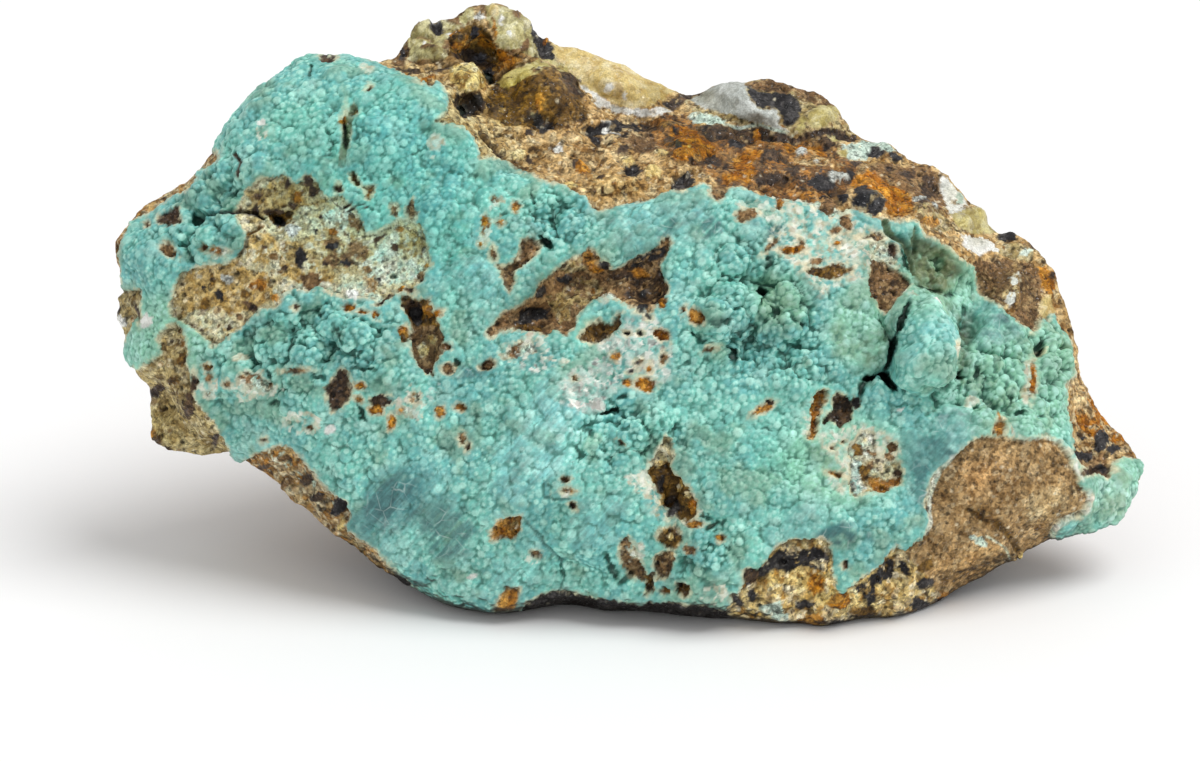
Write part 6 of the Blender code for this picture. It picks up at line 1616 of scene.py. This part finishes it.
def piece(skin, chosen, name, colours, finish, material, flat):
    """One piece of the skin, in metres, with the whole skin's normals so that no seam shows.

    The flat places are where its chart lays it out.
    """
    used, corners = np.unique(skin.triangles[chosen].ravel(), return_inverse=True)
    mesh = bpy.data.meshes.new(name)
    mesh.vertices.add(len(used))
    mesh.vertices.foreach_set("co", (skin.places[used] * MM).ravel())
    mesh.loops.add(len(corners))
    mesh.loops.foreach_set("vertex_index", corners.astype(np.int32))
    mesh.polygons.add(len(chosen))
    mesh.polygons.foreach_set("loop_start", np.arange(0, len(corners), 3, dtype=np.int32))
    mesh.update(calc_edges=True)
    mesh.validate()
    for label, values in (("tone", colours), ("finish", finish)):
        layer = mesh.attributes.new(label, "FLOAT_COLOR", "POINT")
        full = np.ones((len(used), 4), dtype=np.float32)
        full[:, :values.shape[1]] = values[used]
        layer.data.foreach_set("color", full.ravel())
    mesh.polygons.foreach_set("use_smooth", np.ones(len(chosen), dtype=bool))
    ends = skin.places[skin.triangles[chosen]]
    facets_out = np.cross(ends[:, 1] - ends[:, 0], ends[:, 2] - ends[:, 0])
    facets_out /= np.maximum(np.linalg.norm(facets_out, axis=1), 1e-12)[:, None]
    keen = FACET_SHARE * finish[used, 3][corners][:, None]
    turned = skin.normals[used][corners] * (1 - keen) + np.repeat(facets_out, 3, 0) * keen
    mesh.normals_split_custom_set((turned / np.linalg.norm(turned, axis=1)[:, None]).tolist())
    chart = mesh.uv_layers.new(name="OFBake")
    spread = flat[used] - flat[used].min(0)
    spread = spread / spread.max() * 0.98 + 0.01
    chart.data.foreach_set("uv", spread[corners].astype(np.float32).ravel())
    mesh.materials.append(material)
    made = bpy.data.objects.new(name, mesh)
    bpy.context.scene.collection.objects.link(made)
    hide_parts(NODE)
    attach(made, "root")
    return made


def dress():
    """Makes the whole skin and hands it over as pieces."""
    skin = first_skin()
    facts = sculpted(skin)
    colours, finish = painted(skin, facts)
    material = surface_material()
    corner = skin.triangles
    facing = skin.facing[corner].mean(1)
    drawn = np.stack([skin.across, -skin.down], 1)
    behind = skin.places[:, [0, 2]] * np.array((-1.0, 1.0)) + skin.places[:, [1]] * np.array((0.0, -0.35))
    front = np.flatnonzero(facing > FINE_FACING)
    back = np.flatnonzero(facing <= FINE_FACING)
    across = skin.across[corner].mean(1)
    halves = (("front", front, FRONT_PIECES, drawn), ("back", back, BACK_PIECES, behind))
    for label, group, count, flat in halves:
        ordered = group[np.argsort(across[group], kind="stable")]
        for number, chosen in enumerate(np.array_split(ordered, count)):
            piece(skin, chosen, f"ore_{label}_{number + 1}", colours, finish, material, flat)


def floor():
    """A plain pale floor that fades into the background."""
    bpy.ops.mesh.primitive_plane_add(size=FLOOR_SIZE, location=(0, 0, 0))
    ground = bpy.context.object
    ground.name = "floor"
    material = bpy.data.materials.new("floor_paint")
    material.use_nodes = True
    shader = material.node_tree.nodes["Principled BSDF"]
    shader.inputs["Base Color"].default_value = (FLOOR_TONE, FLOOR_TONE, FLOOR_TONE, 1.0)
    shader.inputs["Roughness"].default_value = 0.9
    shader.inputs["Specular IOR Level"].default_value = 0.1
    ground.data.materials.append(material)


def studio():
    """Soft light from above, a little from the right, a pale surrounding and the camera."""
    world = bpy.data.worlds.new("studio")
    bpy.context.scene.world = world
    world.use_nodes = True
    sky = world.node_tree.nodes["Background"]
    sky.inputs["Color"].default_value = (1.0, 1.0, 1.0, 1.0)
    sky.inputs["Strength"].default_value = SKY_STRENGTH
    middle = Vector((0.0, 0.0, MIDDLE_HEIGHT * MM))
    sun = bpy.data.lights.new("key", "SUN")
    sun.angle = KEY_SPREAD
    sun.energy = KEY_STRENGTH
    lamp = bpy.data.objects.new("key", sun)
    lamp.rotation_euler = Vector(KEY_WAY).to_track_quat("-Z", "Y").to_euler()
    bpy.context.scene.collection.objects.link(lamp)
    lens = bpy.data.cameras.new("camera")
    lens.sensor_width = SENSOR_WIDTH
    lens.lens = SENSOR_WIDTH * EYE_DISTANCE / SHEET_WIDTH
    lens.clip_start = CLIP_START
    camera = bpy.data.objects.new("camera", lens)
    camera.location = middle - Vector(SIGHT) * EYE_DISTANCE * MM
    camera.rotation_euler = Vector(SIGHT).to_track_quat("-Z", "Y").to_euler()
    bpy.context.scene.collection.objects.link(camera)
    bpy.context.scene.camera = camera
    bpy.context.scene.view_settings.view_transform = "Standard"


studio()
floor()
dress()
